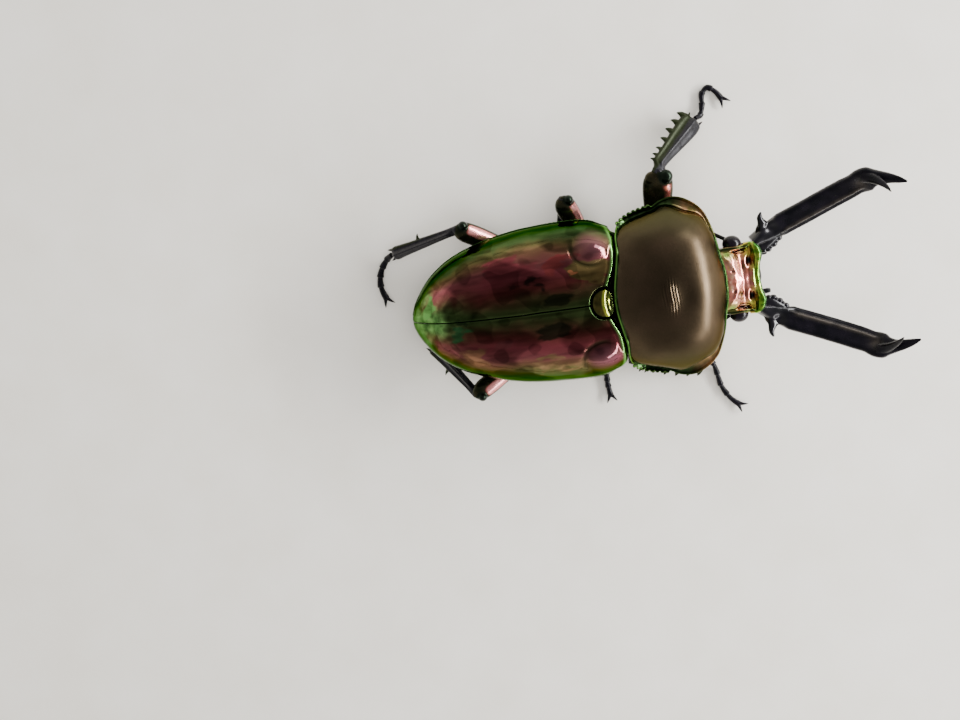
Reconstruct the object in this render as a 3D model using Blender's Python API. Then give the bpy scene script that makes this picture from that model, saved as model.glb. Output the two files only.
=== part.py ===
"""A large male rainbow stag beetle, life size, standing on a flat floor.

Sizes are in millimetres and become metres when a mesh is made. In the beetle's own
frame x runs from the tip of the wing cases to the mandibles, y to the beetle's left,
and z up from the floor. The last step moves it so that the origin is on the floor
under the middle of its bounding box.
"""

import math

import bmesh
import bpy
import numpy as np
from mathutils import Vector

MM = 0.001
GAP = 0.3
HIP_GAP = 0.4
WELD = 0.01
FLOOR = 0.0

# Driving dimensions
ELYTRA_TIP = 0.8
ELYTRA_BASE = 26.6
ELYTRA_HALF_WIDTH = 10.2
ELYTRA_WALL = 0.9
SUTURE_HALF_GAP = 0.15
PRONOTUM_REAR = 26.5
PRONOTUM_MIDDLE = PRONOTUM_REAR + 7.4
PRONOTUM_TOP = 16.0
STERNUM_BOTTOM = 4.3
THORAX_REAR = 15.2
HEAD_FRONT = 45.1

# Left half of the pronotum's edge, from the middle of its rear margin round to the
# middle of its front margin: distance ahead of the rear margin, half-width, height.
PRONOTUM_EDGE = [
    (0.15, 0.0, 14.1), (0.25, 1.5, 14.05), (0.65, 3.6, 13.7), (1.1, 5.8, 12.9),
    (1.35, 8.1, 11.2), (1.8, 8.95, 10.0), (3.2, 9.8, 9.1), (5.3, 10.4, 8.8),
    (6.4, 10.6, 8.8), (7.4, 11.15, 8.8), (9.3, 11.45, 8.8), (11.1, 10.75, 8.9),
    (12.6, 9.35, 9.2), (13.3, 7.6, 9.8), (13.7, 6.0, 10.5), (14.0, 3.7, 11.4),
    (14.35, 1.65, 12.0), (14.4, 0.0, 12.1),
]
TEETH_ON_PRONOTUM = 9
PRONOTUM_TOOTH = 0.34

# The wing cases: half-width, height of the ridge and height of the side edge along x.
ELYTRA_HALF_WIDTHS = [
    (ELYTRA_TIP, 0.8), (1.2, 1.9), (1.85, 3.0), (2.7, 4.2), (3.9, 5.5), (6.1, 7.1), (8.1, 8.05),
    (10.5, 8.85), (12.6, 9.4), (16.5, 10.0), (20.4, ELYTRA_HALF_WIDTH), (23.4, 10.15),
    (24.9, 9.95), (25.9, 9.55), (ELYTRA_BASE, 8.9),
]
ELYTRA_RIDGE = [
    (ELYTRA_TIP, 7.7), (1.2, 8.6), (1.85, 9.5), (2.7, 10.6), (3.9, 11.8), (6.1, 13.1),
    (9.0, 14.1), (12.6, 14.7), (16.5, 15.0), (20.4, 15.0), (23.4, 14.7), (ELYTRA_BASE, 13.9),
]
ELYTRA_EDGE = [(ELYTRA_TIP, 6.7), (4.0, 6.7), (12.0, 7.1), (20.0, 7.6), (ELYTRA_BASE, 8.6)]
# How far the front margin lies ahead of the base of the wing cases, by half-width.
FRONT_MARGIN = [
    (0.0, -0.35), (1.6, -0.25), (2.8, 0.05), (4.8, 0.55), (6.3, 0.8), (7.6, 0.9), (8.9, 0.5),
    (9.6, -0.2),
]
# The swelling on each shoulder: centre along and across, half-lengths, height.
CALLUS = (24.3, 7.2, 1.8, 1.7, 0.5)

# The shield between the wing cases: its widest place, and its reach to either end.
SCUTELLUM_MIDDLE = 25.2
SCUTELLUM_FRONT = 1.15
SCUTELLUM_BACK = 1.5
SCUTELLUM_HALF_WIDTH = 1.75

# The belly under the wing cases: height of its lowest line along x.
BELLY = [
    (2.4, 6.0), (3.6, 5.4), (7.0, 4.6), (12.0, 4.1), (18.0, 3.8), (24.0, 3.7), (30.5, 5.0),
]
# How much the body draws in from the wing cases towards its neck.
NECKING = [(0.0, 0.0), (19.0, 0.0), (24.0, 0.7), (27.0, 1.6), (30.5, 2.6)]
ABDOMEN_TIP = 2.4
STERNITE_EDGES = [3.7, 6.2, 8.8, 11.4, 14.2]
STERNITE_STEP = 0.22

# The head: half-width, top and underside along x.
HEAD_HALF_WIDTHS = [
    (37.0, 3.9), (40.4, 4.3), (42.0, 4.6), (43.0, 4.3), (44.0, 4.2), (44.8, 4.2),
    (HEAD_FRONT, 3.8),
]
HEAD_TOP = [
    (37.0, 10.6), (40.6, 11.1), (42.0, 10.9), (43.4, 10.1), (44.5, 10.1), (HEAD_FRONT, 9.5),
]
HEAD_UNDERSIDE = [(37.0, 5.3), (40.5, 5.7), (43.0, 6.1), (HEAD_FRONT, 7.0)]
EYE_CENTRE = (42.42, 4.55, 8.75)
EYE_RADII = (1.2, 1.05, 1.15)

# The left mandible's centre line, and its half-width and half-height along that line.
MANDIBLE_LINE = [
    (45.1, 4.4, 7.9), (46.2, 4.85, 7.9), (47.5, 5.4, 8.0), (49.0, 6.05, 8.2), (52.0, 7.3, 8.8),
    (55.0, 8.6, 9.4), (57.5, 9.7, 10.3), (59.4, 10.55, 11.5), (60.9, 10.6, 12.6),
    (62.3, 10.3, 13.5), (63.6, 9.85, 14.3),
]
MANDIBLE_HALF_WIDTHS = [
    (0.0, 0.45), (1.2, 0.85), (2.5, 1.15), (3.6, 1.35), (4.4, 1.55), (7.5, 1.55), (13.0, 1.55),
    (14.4, 1.5), (15.6, 1.65), (16.4, 1.6), (17.3, 1.1), (18.2, 0.8), (19.2, 0.62), (20.3, 0.42),
    (21.4, 0.1),
]
MANDIBLE_HALF_HEIGHTS = [
    (0.0, 1.2), (2.0, 1.0), (4.5, 0.75), (10.0, 0.7), (15.5, 0.7), (18.0, 0.5), (21.4, 0.1),
]
MANDIBLE_TILT = math.radians(18)
# The outline of its root: the rear edge, the foot of the thorn, the outer edge, the lobe.
MANDIBLE_ROOT = [
    (45.2, 3.9, 7.95), (45.55, 5.2, 7.95), (45.8, 6.1, 8.1), (46.3, 6.7, 8.2), (47.1, 6.7, 8.1),
    (48.3, 7.3, 8.1), (49.6, 7.5, 8.2), (49.6, 6.2, 8.2), (48.9, 4.9, 8.1), (48.4, 4.1, 8.0),
    (47.8, 3.6, 8.0), (47.2, 3.2, 8.0), (46.6, 2.95, 8.0), (45.9, 3.1, 7.95),
]
ROOT_HALF_HEIGHT = 0.6
# The thorn's middle line, and its half-width and half-height along that line.
THORN_LINE = [
    (47.1, 5.0, 8.1), (46.8, 6.0, 8.3), (46.5, 6.7, 8.5), (46.3, 7.35, 8.75), (46.45, 8.05, 9.0),
]
THORN_HALF_WIDTHS = [(0.0, 1.35), (0.9, 1.0), (1.6, 0.66), (2.2, 0.44), (2.8, 0.3), (3.3, 0.1)]
THORN_HALF_HEIGHTS = [(0.0, 0.75), (1.6, 0.55), (2.5, 0.38), (3.3, 0.1)]
LOBE_TEETH = [(48.75, 3.95), (48.15, 3.45), (47.5, 3.0), (46.85, 2.65), (46.2, 2.6)]

# Each leg: where its femur leaves the coxa, its knee, its ankle, and the foot's line.
FOOT = 0.38
LEGS = {
    "fore_left": {
        "hip": (33.6, 5.2, 4.2), "knee": (34.4, 14.5, 7.1), "ankle": (40.3, 20.3, 1.7),
        "foot": [(41.3, 20.8, 0.8), (41.75, 22.1, 0.45), (41.95, 23.6, FOOT),
                 (42.6, 24.2, FOOT), (43.6, 23.6, FOOT), (44.4, 22.5, FOOT)],
    },
    "fore_right": {
        "hip": (34.4, -4.8, 4.2), "knee": (28.5, -9.4, 2.9), "ankle": (38.1, -11.1, 1.5),
        "foot": [(39.3, -12.1, 0.8), (39.85, -14.0, 0.45), (40.1, -15.2, FOOT),
                 (40.7, -16.5, FOOT), (41.6, -17.7, FOOT), (42.3, -18.3, FOOT)],
    },
    "mid_left": {
        "hip": (25.0, 5.2, 3.6), "knee": (21.9, 12.9, 7.2), "ankle": (21.1, 5.4, 1.5),
        "foot": [(20.8, 4.4, 0.75), (20.1, 3.4, 0.45), (18.9, 2.7, FOOT), (17.6, 2.6, FOOT),
                 (16.5, 3.0, FOOT)],
    },
    "mid_right": {
        "hip": (25.0, -5.3, 3.5), "knee": (17.0, -9.8, 4.7), "ankle": (24.4, -10.2, 1.5),
        "foot": [(24.9, -11.0, 0.8), (25.0, -12.0, 0.5), (25.0, -13.0, FOOT),
                 (25.1, -13.9, FOOT), (25.2, -14.7, FOOT)],
    },
    "hind_left": {
        "hip": (16.6, 6.0, 3.5), "knee": (8.2, 11.0, 7.1), "ankle": (-0.9, 8.5, 1.8),
        "foot": [(-2.1, 7.7, 0.8), (-3.0, 6.4, 0.45), (-3.4, 5.0, FOOT), (-3.3, 3.6, FOOT),
                 (-2.9, 2.5, FOOT)],
    },
    "hind_right": {
        "hip": (16.6, -6.0, 3.5), "knee": (7.6, -10.8, 6.6), "ankle": (2.4, -4.7, 1.4),
        "foot": [(1.9, -3.7, 0.75), (1.6, -2.5, 0.45), (1.7, -1.2, FOOT), (2.1, -0.1, FOOT),
                 (2.7, 0.8, FOOT)],
    },
}
FEMUR_WIDTH = {"fore": 3.9, "mid": 2.8, "hind": 2.7}
TARSUS_RADIUS = {"fore": 0.3, "mid": 0.32, "hind": 0.35}
CLAW_LENGTH = 1.3
FEMUR_SAG = 0.4
# Half-widths of the shins from knee to ankle, and how far a fore shin bows outward.
FORE_SHIN = [0.85, 1.0, 0.95, 1.0, 1.2, 1.4, 1.5, 1.4, 0.9]
SHIN = [0.45, 0.6, 0.58, 0.62, 0.7, 0.78, 0.86, 0.92, 0.75]
FORE_BOW = 0.6
# The teeth of a fore shin: place along it, length, half-width at the root.
FORE_TEETH = [
    (0.13, 0.35, 0.28), (0.21, 0.4, 0.3), (0.32, 0.5, 0.34), (0.48, 0.6, 0.42),
    (0.64, 0.65, 0.46), (0.8, 0.65, 0.48), (0.95, 0.7, 0.5),
]

# Finishes: base colour, metallic, roughness.
FINISHES = {
    "bronze": ((0.16, 0.12, 0.07), 0.9, 0.3),
    "rainbow": ((0.30, 0.05, 0.07), 0.95, 0.12),
    "green": ((0.08, 0.30, 0.04), 0.9, 0.2),
    "copper": ((0.55, 0.20, 0.12), 0.9, 0.2),
    "black": ((0.012, 0.010, 0.012), 0.2, 0.25),
    "eye": ((0.006, 0.005, 0.006), 0.0, 0.08),
    "belly": ((0.04, 0.09, 0.03), 0.8, 0.3),
}


def profile(knots):
    """A smooth function through (station, value) knots that doesn't overshoot them."""
    xs, ys = (np.array(column, float) for column in zip(*knots))
    slopes = np.diff(ys) / np.diff(xs)
    tangents = np.concatenate([slopes[:1], np.zeros(len(xs) - 2), slopes[-1:]])
    for i in range(1, len(xs) - 1):
        if slopes[i - 1] * slopes[i] > 0:
            tangents[i] = 2 * slopes[i - 1] * slopes[i] / (slopes[i - 1] + slopes[i])

    def value_at(x):
        x = np.clip(x, xs[0], xs[-1])
        i = np.clip(np.searchsorted(xs, x) - 1, 0, len(xs) - 2)
        step = xs[i + 1] - xs[i]
        t = (x - xs[i]) / step
        return hermite(t, ys[i], ys[i + 1], step * tangents[i], step * tangents[i + 1])

    return value_at


def hermite(t, start, end, start_tangent, end_tangent):
    """The cubic from start to end with these tangents."""
    return (
        (2 * t**3 - 3 * t**2 + 1) * start
        + (3 * t**2 - 2 * t**3) * end
        + (t**3 - 2 * t**2 + t) * start_tangent
        + (t**3 - t**2) * end_tangent
    )


def smooth_line(points, count):
    """count points, evenly spaced, on a smooth curve through the given points."""
    p = np.array(points, float)
    s = np.concatenate([[0], np.cumsum(np.linalg.norm(np.diff(p, axis=0), axis=1))])
    tangents = np.gradient(p, s, axis=0)
    dense = np.linspace(0, s[-1], 24 * len(p))
    i = np.clip(np.searchsorted(s, dense, side="right") - 1, 0, len(p) - 2)
    step = (s[i + 1] - s[i])[:, None]
    t = (dense - s[i])[:, None] / step
    curve = hermite(t, p[i], p[i + 1], step * tangents[i], step * tangents[i + 1])
    run = np.concatenate([[0], np.cumsum(np.linalg.norm(np.diff(curve, axis=0), axis=1))])
    wanted = np.linspace(0, run[-1], count)
    return np.stack([np.interp(wanted, run, curve[:, k]) for k in range(3)], axis=1)


def unit(vector):
    return np.array(vector, float) / np.linalg.norm(vector)


def make_finishes():
    """One Principled material for each finish."""
    made = {}
    for name, (colour, metallic, roughness) in FINISHES.items():
        material = bpy.data.materials.new(name)
        material.use_nodes = True
        shader = material.node_tree.nodes["Principled BSDF"]
        shader.inputs["Base Color"].default_value = (*colour, 1.0)
        shader.inputs["Metallic"].default_value = metallic
        shader.inputs["Roughness"].default_value = roughness
        made[name] = material
    return made


def solid(name, points, faces):
    """An object with its faces pointing out, from points in millimetres."""
    mesh = bpy.data.meshes.new(name)
    mesh.from_pydata([tuple(p) for p in np.array(points, float) * MM], [], faces)
    worked = bmesh.new()
    worked.from_mesh(mesh)
    bmesh.ops.recalc_face_normals(worked, faces=worked.faces)
    if worked.calc_volume(signed=True) < 0:
        bmesh.ops.reverse_faces(worked, faces=worked.faces)
    bmesh.ops.triangulate(worked, faces=worked.faces)
    worked.to_mesh(mesh)
    worked.free()
    made = bpy.data.objects.new(name, mesh)
    bpy.context.scene.collection.objects.link(made)
    return made


def loft(name, rings, strip_caps=False):
    """A closed skin over rings of equal count. Its ends are fans, or strips on thin rings."""
    rings = np.array(rings, float)
    rows, count = rings.shape[:2]
    points = list(rings.reshape(-1, 3))
    faces = []
    for i in range(rows - 1):
        for j in range(count):
            k = (j + 1) % count
            faces.append((i * count + j, i * count + k, (i + 1) * count + k, (i + 1) * count + j))
    for row in (0, rows - 1):
        start = row * count
        if strip_caps:
            for j in range(count // 2 - 1):
                back = count - 1 - j
                faces.append((start + j, start + j + 1, start + back - 1, start + back))
            continue
        points.append(rings[row].mean(axis=0))
        for j in range(count):
            faces.append((start + j, start + (j + 1) % count, len(points) - 1))
    return solid(name, points, faces)


def tube(name, line, half_widths, half_heights, up, sides=8):
    """A loft of ellipses square to a line. up is the direction of their heights."""
    line = np.array(line, float)
    tangents = np.gradient(line, axis=0)
    rings = []
    for point, tangent, a, b in zip(line, tangents, half_widths, half_heights):
        side = unit(np.cross(tangent, up))
        top = unit(np.cross(side, tangent))
        angles = np.arange(sides) * 2 * math.pi / sides + math.pi / sides
        rings.append([point + side * a * math.cos(t) + top * b * math.sin(t) for t in angles])
    return loft(name, rings)


def cone(name, root, tip, radius, bend=(0, 0, 0), sides=5, rows=4, flat=1.0, up=None):
    """A curved spine from a sunken root to a sharp tip. bend pushes its middle aside."""
    root, tip, bend = (np.array(v, float) for v in (root, tip, bend))
    share = np.linspace(0, 1, rows)[:, None]
    line = root + (tip - root) * share + bend * (4 * share * (1 - share))
    radii = radius * (1 - share[:, 0]) ** 0.8 + 0.04
    axis = unit(tip - root)
    if up is None:
        up = (0, 0, 1) if abs(axis[2]) < 0.9 else (1, 0, 0)
    return tube(name, line, radii, radii * flat, up, sides)


def ellipsoid(name, centre, radii, segments=14, rows=8):
    """A closed ellipsoid."""
    rings = []
    for i in range(1, rows):
        polar = math.pi * i / rows
        angles = np.arange(segments) * 2 * math.pi / segments
        rings.append([
            (
                centre[0] + radii[0] * math.sin(polar) * math.cos(t),
                centre[1] + radii[1] * math.sin(polar) * math.sin(t),
                centre[2] + radii[2] * math.cos(polar),
            )
            for t in angles
        ])
    made = loft(name, rings)
    poles = made.data.vertices[-2:]
    poles[0].co.z = (centre[2] + radii[2]) * MM
    poles[1].co.z = (centre[2] - radii[2]) * MM
    return made


def pillow(name, outline, half_height):
    """A plate with this outline, thickest in its middle."""
    outline = np.array(outline, float)
    centre = outline.mean(axis=0)
    rings = []
    for reach, share in [(0.4, 1.0), (0.8, 0.75), (1.0, 0.0), (0.8, -0.75), (0.4, -1.0)]:
        rings.append(centre + (outline - centre) * reach + (0, 0, half_height * share))
    return loft(name, rings)


def keep_largest(obj):
    """Deletes every closed surface of an object but its largest, and welds tiny edges."""
    worked = bmesh.new()
    worked.from_mesh(obj.data)
    unseen, groups = set(worked.faces), []
    while unseen:
        group, waiting = [], [unseen.pop()]
        while waiting:
            face = waiting.pop()
            group.append(face)
            for other in {f for e in face.edges for f in e.link_faces} & unseen:
                unseen.discard(other)
                waiting.append(other)
        groups.append(group)
    groups.sort(key=len, reverse=True)
    dropped = [face for group in groups[1:] for face in group]
    bmesh.ops.delete(worked, geom=dropped, context="FACES")
    loose = [v for v in worked.verts if not v.link_faces]
    bmesh.ops.delete(worked, geom=loose, context="VERTS")
    bmesh.ops.triangulate(worked, faces=worked.faces)
    worked.to_mesh(obj.data)
    bmesh.ops.dissolve_degenerate(worked, dist=WELD * MM, edges=worked.edges)
    bmesh.ops.triangulate(worked, faces=worked.faces)
    welded = bpy.data.meshes.new(obj.name)
    worked.to_mesh(welded)
    worked.free()
    if is_closed(welded):
        obj.data = welded


def combine(obj, others, operation):
    """Joins or cuts obj with closed mesh objects, applies it, and removes them."""
    group = bpy.data.collections.new("pieces")
    bpy.context.scene.collection.children.link(group)
    for other in others:
        group.objects.link(other)
    step = obj.modifiers.new("combine", "BOOLEAN")
    step.operation = operation
    step.operand_type = "COLLECTION"
    step.collection = group
    for solver in ("EXACT", "MANIFOLD"):
        step.solver = solver
        graph = bpy.context.evaluated_depsgraph_get()
        mesh = bpy.data.meshes.new_from_object(obj.evaluated_get(graph))
        if is_closed(mesh):
            break
    obj.modifiers.clear()
    obj.data = mesh
    for other in others:
        bpy.data.objects.remove(other)
    bpy.data.collections.remove(group)
    keep_largest(obj)
    return obj


def is_closed(mesh):
    """Whether a mesh has a volume and every edge of it has two faces."""
    worked = bmesh.new()
    worked.from_mesh(mesh)
    closed = all(len(edge.link_faces) == 2 for edge in worked.edges)
    full = len(worked.faces) > 0 and worked.calc_volume(signed=True) > 0
    worked.free()
    return closed and full


def fuse(obj, others):
    return combine(obj, others, "UNION")


def swollen(obj, by=GAP):
    """A copy of an object with its surface moved out by a distance."""
    mesh = obj.data.copy()
    normals = [v.normal.copy() for v in mesh.vertices]
    for vertex, normal in zip(mesh.vertices, normals):
        vertex.co += normal * by * MM
    made = bpy.data.objects.new("cutter", mesh)
    bpy.context.scene.collection.objects.link(made)
    return made


def clear_of(obj, *others):
    """Cuts obj back so that it keeps the gap to each other object."""
    for other in others:
        combine(obj, [swollen(other)], "DIFFERENCE")
    return obj


def socket(obj, makers):
    """Cuts obj back from each plain piece of the trunk that these functions make."""
    for make in makers:
        for mould in make():
            combine(obj, [swollen(mould, HIP_GAP)], "DIFFERENCE")
            bpy.data.objects.remove(mould)
    return obj


def mirror_of(obj):
    """The right-hand twin of a left-hand object."""
    made = bpy.data.objects.new(obj.name.replace("left", "right"), obj.data.copy())
    bpy.context.scene.collection.objects.link(made)
    for vertex in made.data.vertices:
        vertex.co.y = -vertex.co.y
    made.data.flip_normals()
    return made


def side_of(name):
    return 1 if name.endswith("left") else -1


def mirrored(points, side):
    return np.array(points, float) * (1, side, 1)


def pronotum_edge():
    """The left half of the pronotum's edge, from rear to front."""
    return smooth_line([(PRONOTUM_REAR + x, y, z) for x, y, z in PRONOTUM_EDGE], 25)


def prothorax_pieces():
    """The pronotum's dome with its underside, and the front coxae."""
    half = pronotum_edge()
    edge = np.concatenate([half, mirrored(half, -1)[-2:0:-1]])
    top = np.array([PRONOTUM_MIDDLE, 0, PRONOTUM_TOP])
    bottom = np.array([PRONOTUM_MIDDLE, 0, STERNUM_BOTTOM])
    foot = dome_foot(edge, top)
    rings = []
    for reach in (0.24, 0.47, 0.68, 0.84, 0.94, 1.0):
        rings.append(dome_ring(foot, top, reach))
    rings.append(edge)
    for angle in np.radians([12, 30, 50, 74]):
        rings.append(keel_ring(edge, bottom, angle))
    body = loft("prothorax", rings)
    poles = body.data.vertices[-2:]
    poles[0].co.z = PRONOTUM_TOP * MM
    poles[1].co.z = STERNUM_BOTTOM * MM
    coxae = [
        ellipsoid("coxa", (33.4, side * 3.0, 4.7), (1.7, 2.7, 1.2), 10, 5) for side in (1, -1)
    ]
    return [body, *coxae]


def prothorax():
    """The pronotum, its underside and the front coxae, as one shell."""
    body, *pieces = prothorax_pieces()
    for side in (1, -1):
        pieces += pronotum_teeth(mirrored(pronotum_edge(), side))
    return fuse(body, pieces)


def dome_foot(edge, pole):
    """The foot of the dome, inside a flat margin that is broadest at the front corners."""
    ahead, across = edge[:, 0] - PRONOTUM_REAR, np.abs(edge[:, 1])
    corner = np.exp(-(((ahead - 10.4) / 2.3) ** 2)) * (across > 7)
    side = np.exp(-(((ahead - 4.3) / 3.0) ** 2)) * (across > 8)
    width = 0.25 + 1.15 * corner + 0.3 * side
    inward = pole[:2] - edge[:, :2]
    inward /= np.linalg.norm(inward, axis=1)[:, None]
    foot = edge.copy()
    foot[:, :2] += inward * width[:, None]
    foot[:, 2] += 0.15 + 0.15 * corner
    return foot


def softened(ring, width):
    """A closed ring without its short waves. The wider, the closer it is to an ellipse."""
    waves = np.fft.rfft(ring, axis=0)
    order = np.maximum(np.arange(len(waves)) - 1, 0)
    return np.fft.irfft(waves * np.exp(-((order * width) ** 2))[:, None], len(ring), axis=0)


def dome_ring(foot, pole, reach):
    """One ring of the dome: rounded down to its low sides, gently sloped to its high ends."""
    foot = softened(foot, 0.5 * (1 - reach) ** 0.6)
    steep = (1 - reach**2.2) ** (1 / 2.2)
    gentle = 1 - reach**2.8
    height = np.clip((foot[:, 2] - 9.4) / 3.6, 0, 1)
    share = height * height * (3 - 2 * height)
    ring = pole + (foot - pole) * reach
    ring[:, 2] = foot[:, 2] + (pole[2] - foot[:, 2]) * (steep + (gentle - steep) * share)
    return ring


def keel_ring(edge, pole, angle):
    """One ring of the rounded underside, from the edge down to its lowest point."""
    reach = math.cos(angle) ** 0.8
    ring = pole + (edge - pole) * reach
    ring[:, 2] = edge[:, 2] + (pole[2] - edge[:, 2]) * math.sin(angle) ** 0.8
    return ring


def pronotum_teeth(half):
    """Small blunt teeth along the rear half of one side edge."""
    teeth = []
    rear, front = PRONOTUM_REAR + 1.9, PRONOTUM_REAR + 6.6
    side_edge = half[np.abs(half[:, 1]) > 8.5]
    order = np.argsort(side_edge[:, 0])
    for x in np.linspace(rear, front, TEETH_ON_PRONOTUM):
        y = np.interp(x, side_edge[order, 0], side_edge[order, 1])
        z = np.interp(x, side_edge[order, 0], side_edge[order, 2])
        teeth.append(ellipsoid("tooth", (x, y, z), (0.22, PRONOTUM_TOOTH, 0.24), 5, 3))
    return teeth


def wing_ring(x, shrink, count):
    """Points across one wing case at x, from the suture out to its edge."""
    width = max(profile(ELYTRA_HALF_WIDTHS)(x) - shrink, 0.25)
    edge_height = profile(ELYTRA_EDGE)(x)
    ridge_height = max(profile(ELYTRA_RIDGE)(x) - shrink, edge_height + 0.2)
    lead = profile(FRONT_MARGIN)
    ring = []
    for angle in np.linspace(0, math.pi / 2, count):
        across = width * math.sin(angle) ** (2 / 2.3)
        height = edge_height + (ridge_height - edge_height) * math.cos(angle) ** (2 / 2.3)
        if not shrink:
            height += callus_height(x, across)
        ahead = lead(across) * (x / ELYTRA_BASE) ** 8
        ring.append((x + ahead, max(across, SUTURE_HALF_GAP), height))
    return ring


def callus_height(x, across):
    """How much the shoulder's swelling lifts the wing case at a point."""
    at, aside, long, broad, high = CALLUS
    return high * math.exp(-(((x - at) / long) ** 2) - ((across - aside) / broad) ** 2)


def elytron():
    """One wing case: an arched shell with a wall of even thickness."""
    share = np.linspace(0, 1, 22)
    length = ELYTRA_BASE - ELYTRA_TIP
    rings = []
    for part in share**1.5 * 0.6 + (1 - (1 - share) ** 1.5) * 0.4:
        outer = wing_ring(ELYTRA_TIP + length * part, 0, 10)
        inside = ELYTRA_TIP + ELYTRA_WALL + (length - ELYTRA_WALL) * part
        inner = wing_ring(inside, ELYTRA_WALL, 10)
        rings.append(outer + inner[::-1])
    return loft("elytron_left", rings, strip_caps=True)


def body_ring(x, count=9):
    """A closed ring of the body under the wing cases, at x."""
    width = profile(ELYTRA_HALF_WIDTHS)(min(x - 0.3, 23.0))
    inner = width - ELYTRA_WALL - GAP - 0.2 - profile(NECKING)(x)
    edge = profile(ELYTRA_EDGE)(x)
    ridge = profile(ELYTRA_RIDGE)(x - 0.3) - ELYTRA_WALL - GAP - 0.2 - profile(NECKING)(x)
    floor_line = profile(BELLY)(x)
    narrowing = profile([(0.0, 1.0), (24.0, 1.0), (30.5, 0.7)])(x)
    half = []
    for angle in np.linspace(0, math.pi / 2, count):
        height = edge + max(ridge - edge, 0.2) * math.cos(angle) ** (2 / 2.3)
        half.append((x, inner * narrowing * math.sin(angle) ** (2 / 2.3), height))
    under = edge - GAP - 0.05
    for angle in np.linspace(math.pi / 2, 0, count - 1):
        height = under - (under - floor_line) * math.cos(angle)
        across = (width - 0.7) * narrowing * math.sin(angle)
        half.append((x, max(across, 0), height))
    half = np.array(half)
    return np.concatenate([half, mirrored(half, -1)[-2:0:-1]])


def thorax_pieces():
    """The middle and rear thorax, and the middle and hind coxae."""
    rings = [body_ring(x) for x in np.linspace(THORAX_REAR, 30.5, 9)]
    pieces = [loft("thorax", rings)]
    for side in (1, -1):
        pieces.append(ellipsoid("coxa", (25.3, side * 3.3, 4.3), (1.7, 2.6, 1.2), 10, 5))
        pieces.append(ellipsoid("coxa", (17.0, side * 4.4, 4.4), (1.5, 3.6, 1.1), 10, 5))
    return pieces


def thorax():
    body, *coxae = thorax_pieces()
    return fuse(body, coxae)


def abdomen():
    """The abdomen, its underside stepped where one plate overlaps the next."""
    stations = [ABDOMEN_TIP, 3.0]
    for edge in STERNITE_EDGES:
        stations += [edge - 0.08, edge + 0.08]
    stations.append(THORAX_REAR - GAP)
    rings = []
    for x in stations:
        ring = body_ring(x)
        back = [edge for edge in STERNITE_EDGES if edge <= x]
        front = [edge for edge in STERNITE_EDGES if edge > x]
        start = back[-1] if back else ABDOMEN_TIP
        end = front[0] if front else THORAX_REAR
        share = (x - start) / (end - start)
        under = ring[:, 2] < profile(ELYTRA_EDGE)(x) - GAP
        ring[under, 2] += STERNITE_STEP * share
        rings.append(ring)
    return loft("abdomen", rings)


def scutellum():
    """The small shield between the roots of the wing cases: blunt in front, rounded behind."""
    rings = []
    for size, height in [(0.55, 14.4), (0.85, 14.3), (1.0, 14.0), (1.0, 13.4), (0.7, 12.7)]:
        ring = []
        for t in np.arange(16) * 2 * math.pi / 16:
            ahead, aside = math.cos(t), math.sin(t)
            power = 3.4 if ahead > 0 else 2.0
            reach = (abs(ahead) ** power + abs(aside) ** power) ** (-1 / power)
            length = SCUTELLUM_FRONT if ahead > 0 else SCUTELLUM_BACK
            ring.append((
                SCUTELLUM_MIDDLE + length * ahead * reach * size,
                SCUTELLUM_HALF_WIDTH * aside * reach * size, height,
            ))
        rings.append(ring)
    return loft("scutellum", rings)


def head():
    """The head with its front ridge, the shelf before each eye, the lip and the chin."""
    half_width, top, underside = (
        profile(knots) for knots in (HEAD_HALF_WIDTHS, HEAD_TOP, HEAD_UNDERSIDE)
    )
    rings = []
    for x in [37.0, 39.0, 40.4, 41.2, 42.0, 42.8, 43.6, 44.3, 44.8, HEAD_FRONT]:
        middle = (top(x) + underside(x)) / 2
        high = (top(x) - underside(x)) / 2
        ring = []
        for t in np.arange(20) * 2 * math.pi / 20:
            across = abs(math.cos(t)) ** (2 / 2.7) * math.copysign(1, math.cos(t))
            height = abs(math.sin(t)) ** (2 / 2.7) * math.copysign(1, math.sin(t))
            ring.append((x, half_width(x) * across, middle + high * height))
        rings.append(ring)
    body = loft("head", rings)
    pieces = [
        ellipsoid("lip", (45.1, 0, 7.5), (1.0, 1.8, 0.6), 8, 4),
        ellipsoid("chin", (42.9, 0, 6.2), (2.0, 2.4, 0.7), 8, 4),
        ellipsoid("bridge", (44.95, 0, 10.0), (0.6, 3.8, 0.5), 12, 5),
    ]
    for side in (1, -1):
        pieces.append(ellipsoid("corner", (45.0, side * 3.35, 9.95), (0.95, 1.1, 0.55), 10, 5))
        pieces.append(ellipsoid("shelf", (43.6, side * 4.4, 9.1), (1.1, 0.7, 0.5), 8, 4))
    return fuse(body, pieces)


def eye():
    return ellipsoid("eye_left", EYE_CENTRE, EYE_RADII, 14, 8)


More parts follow.
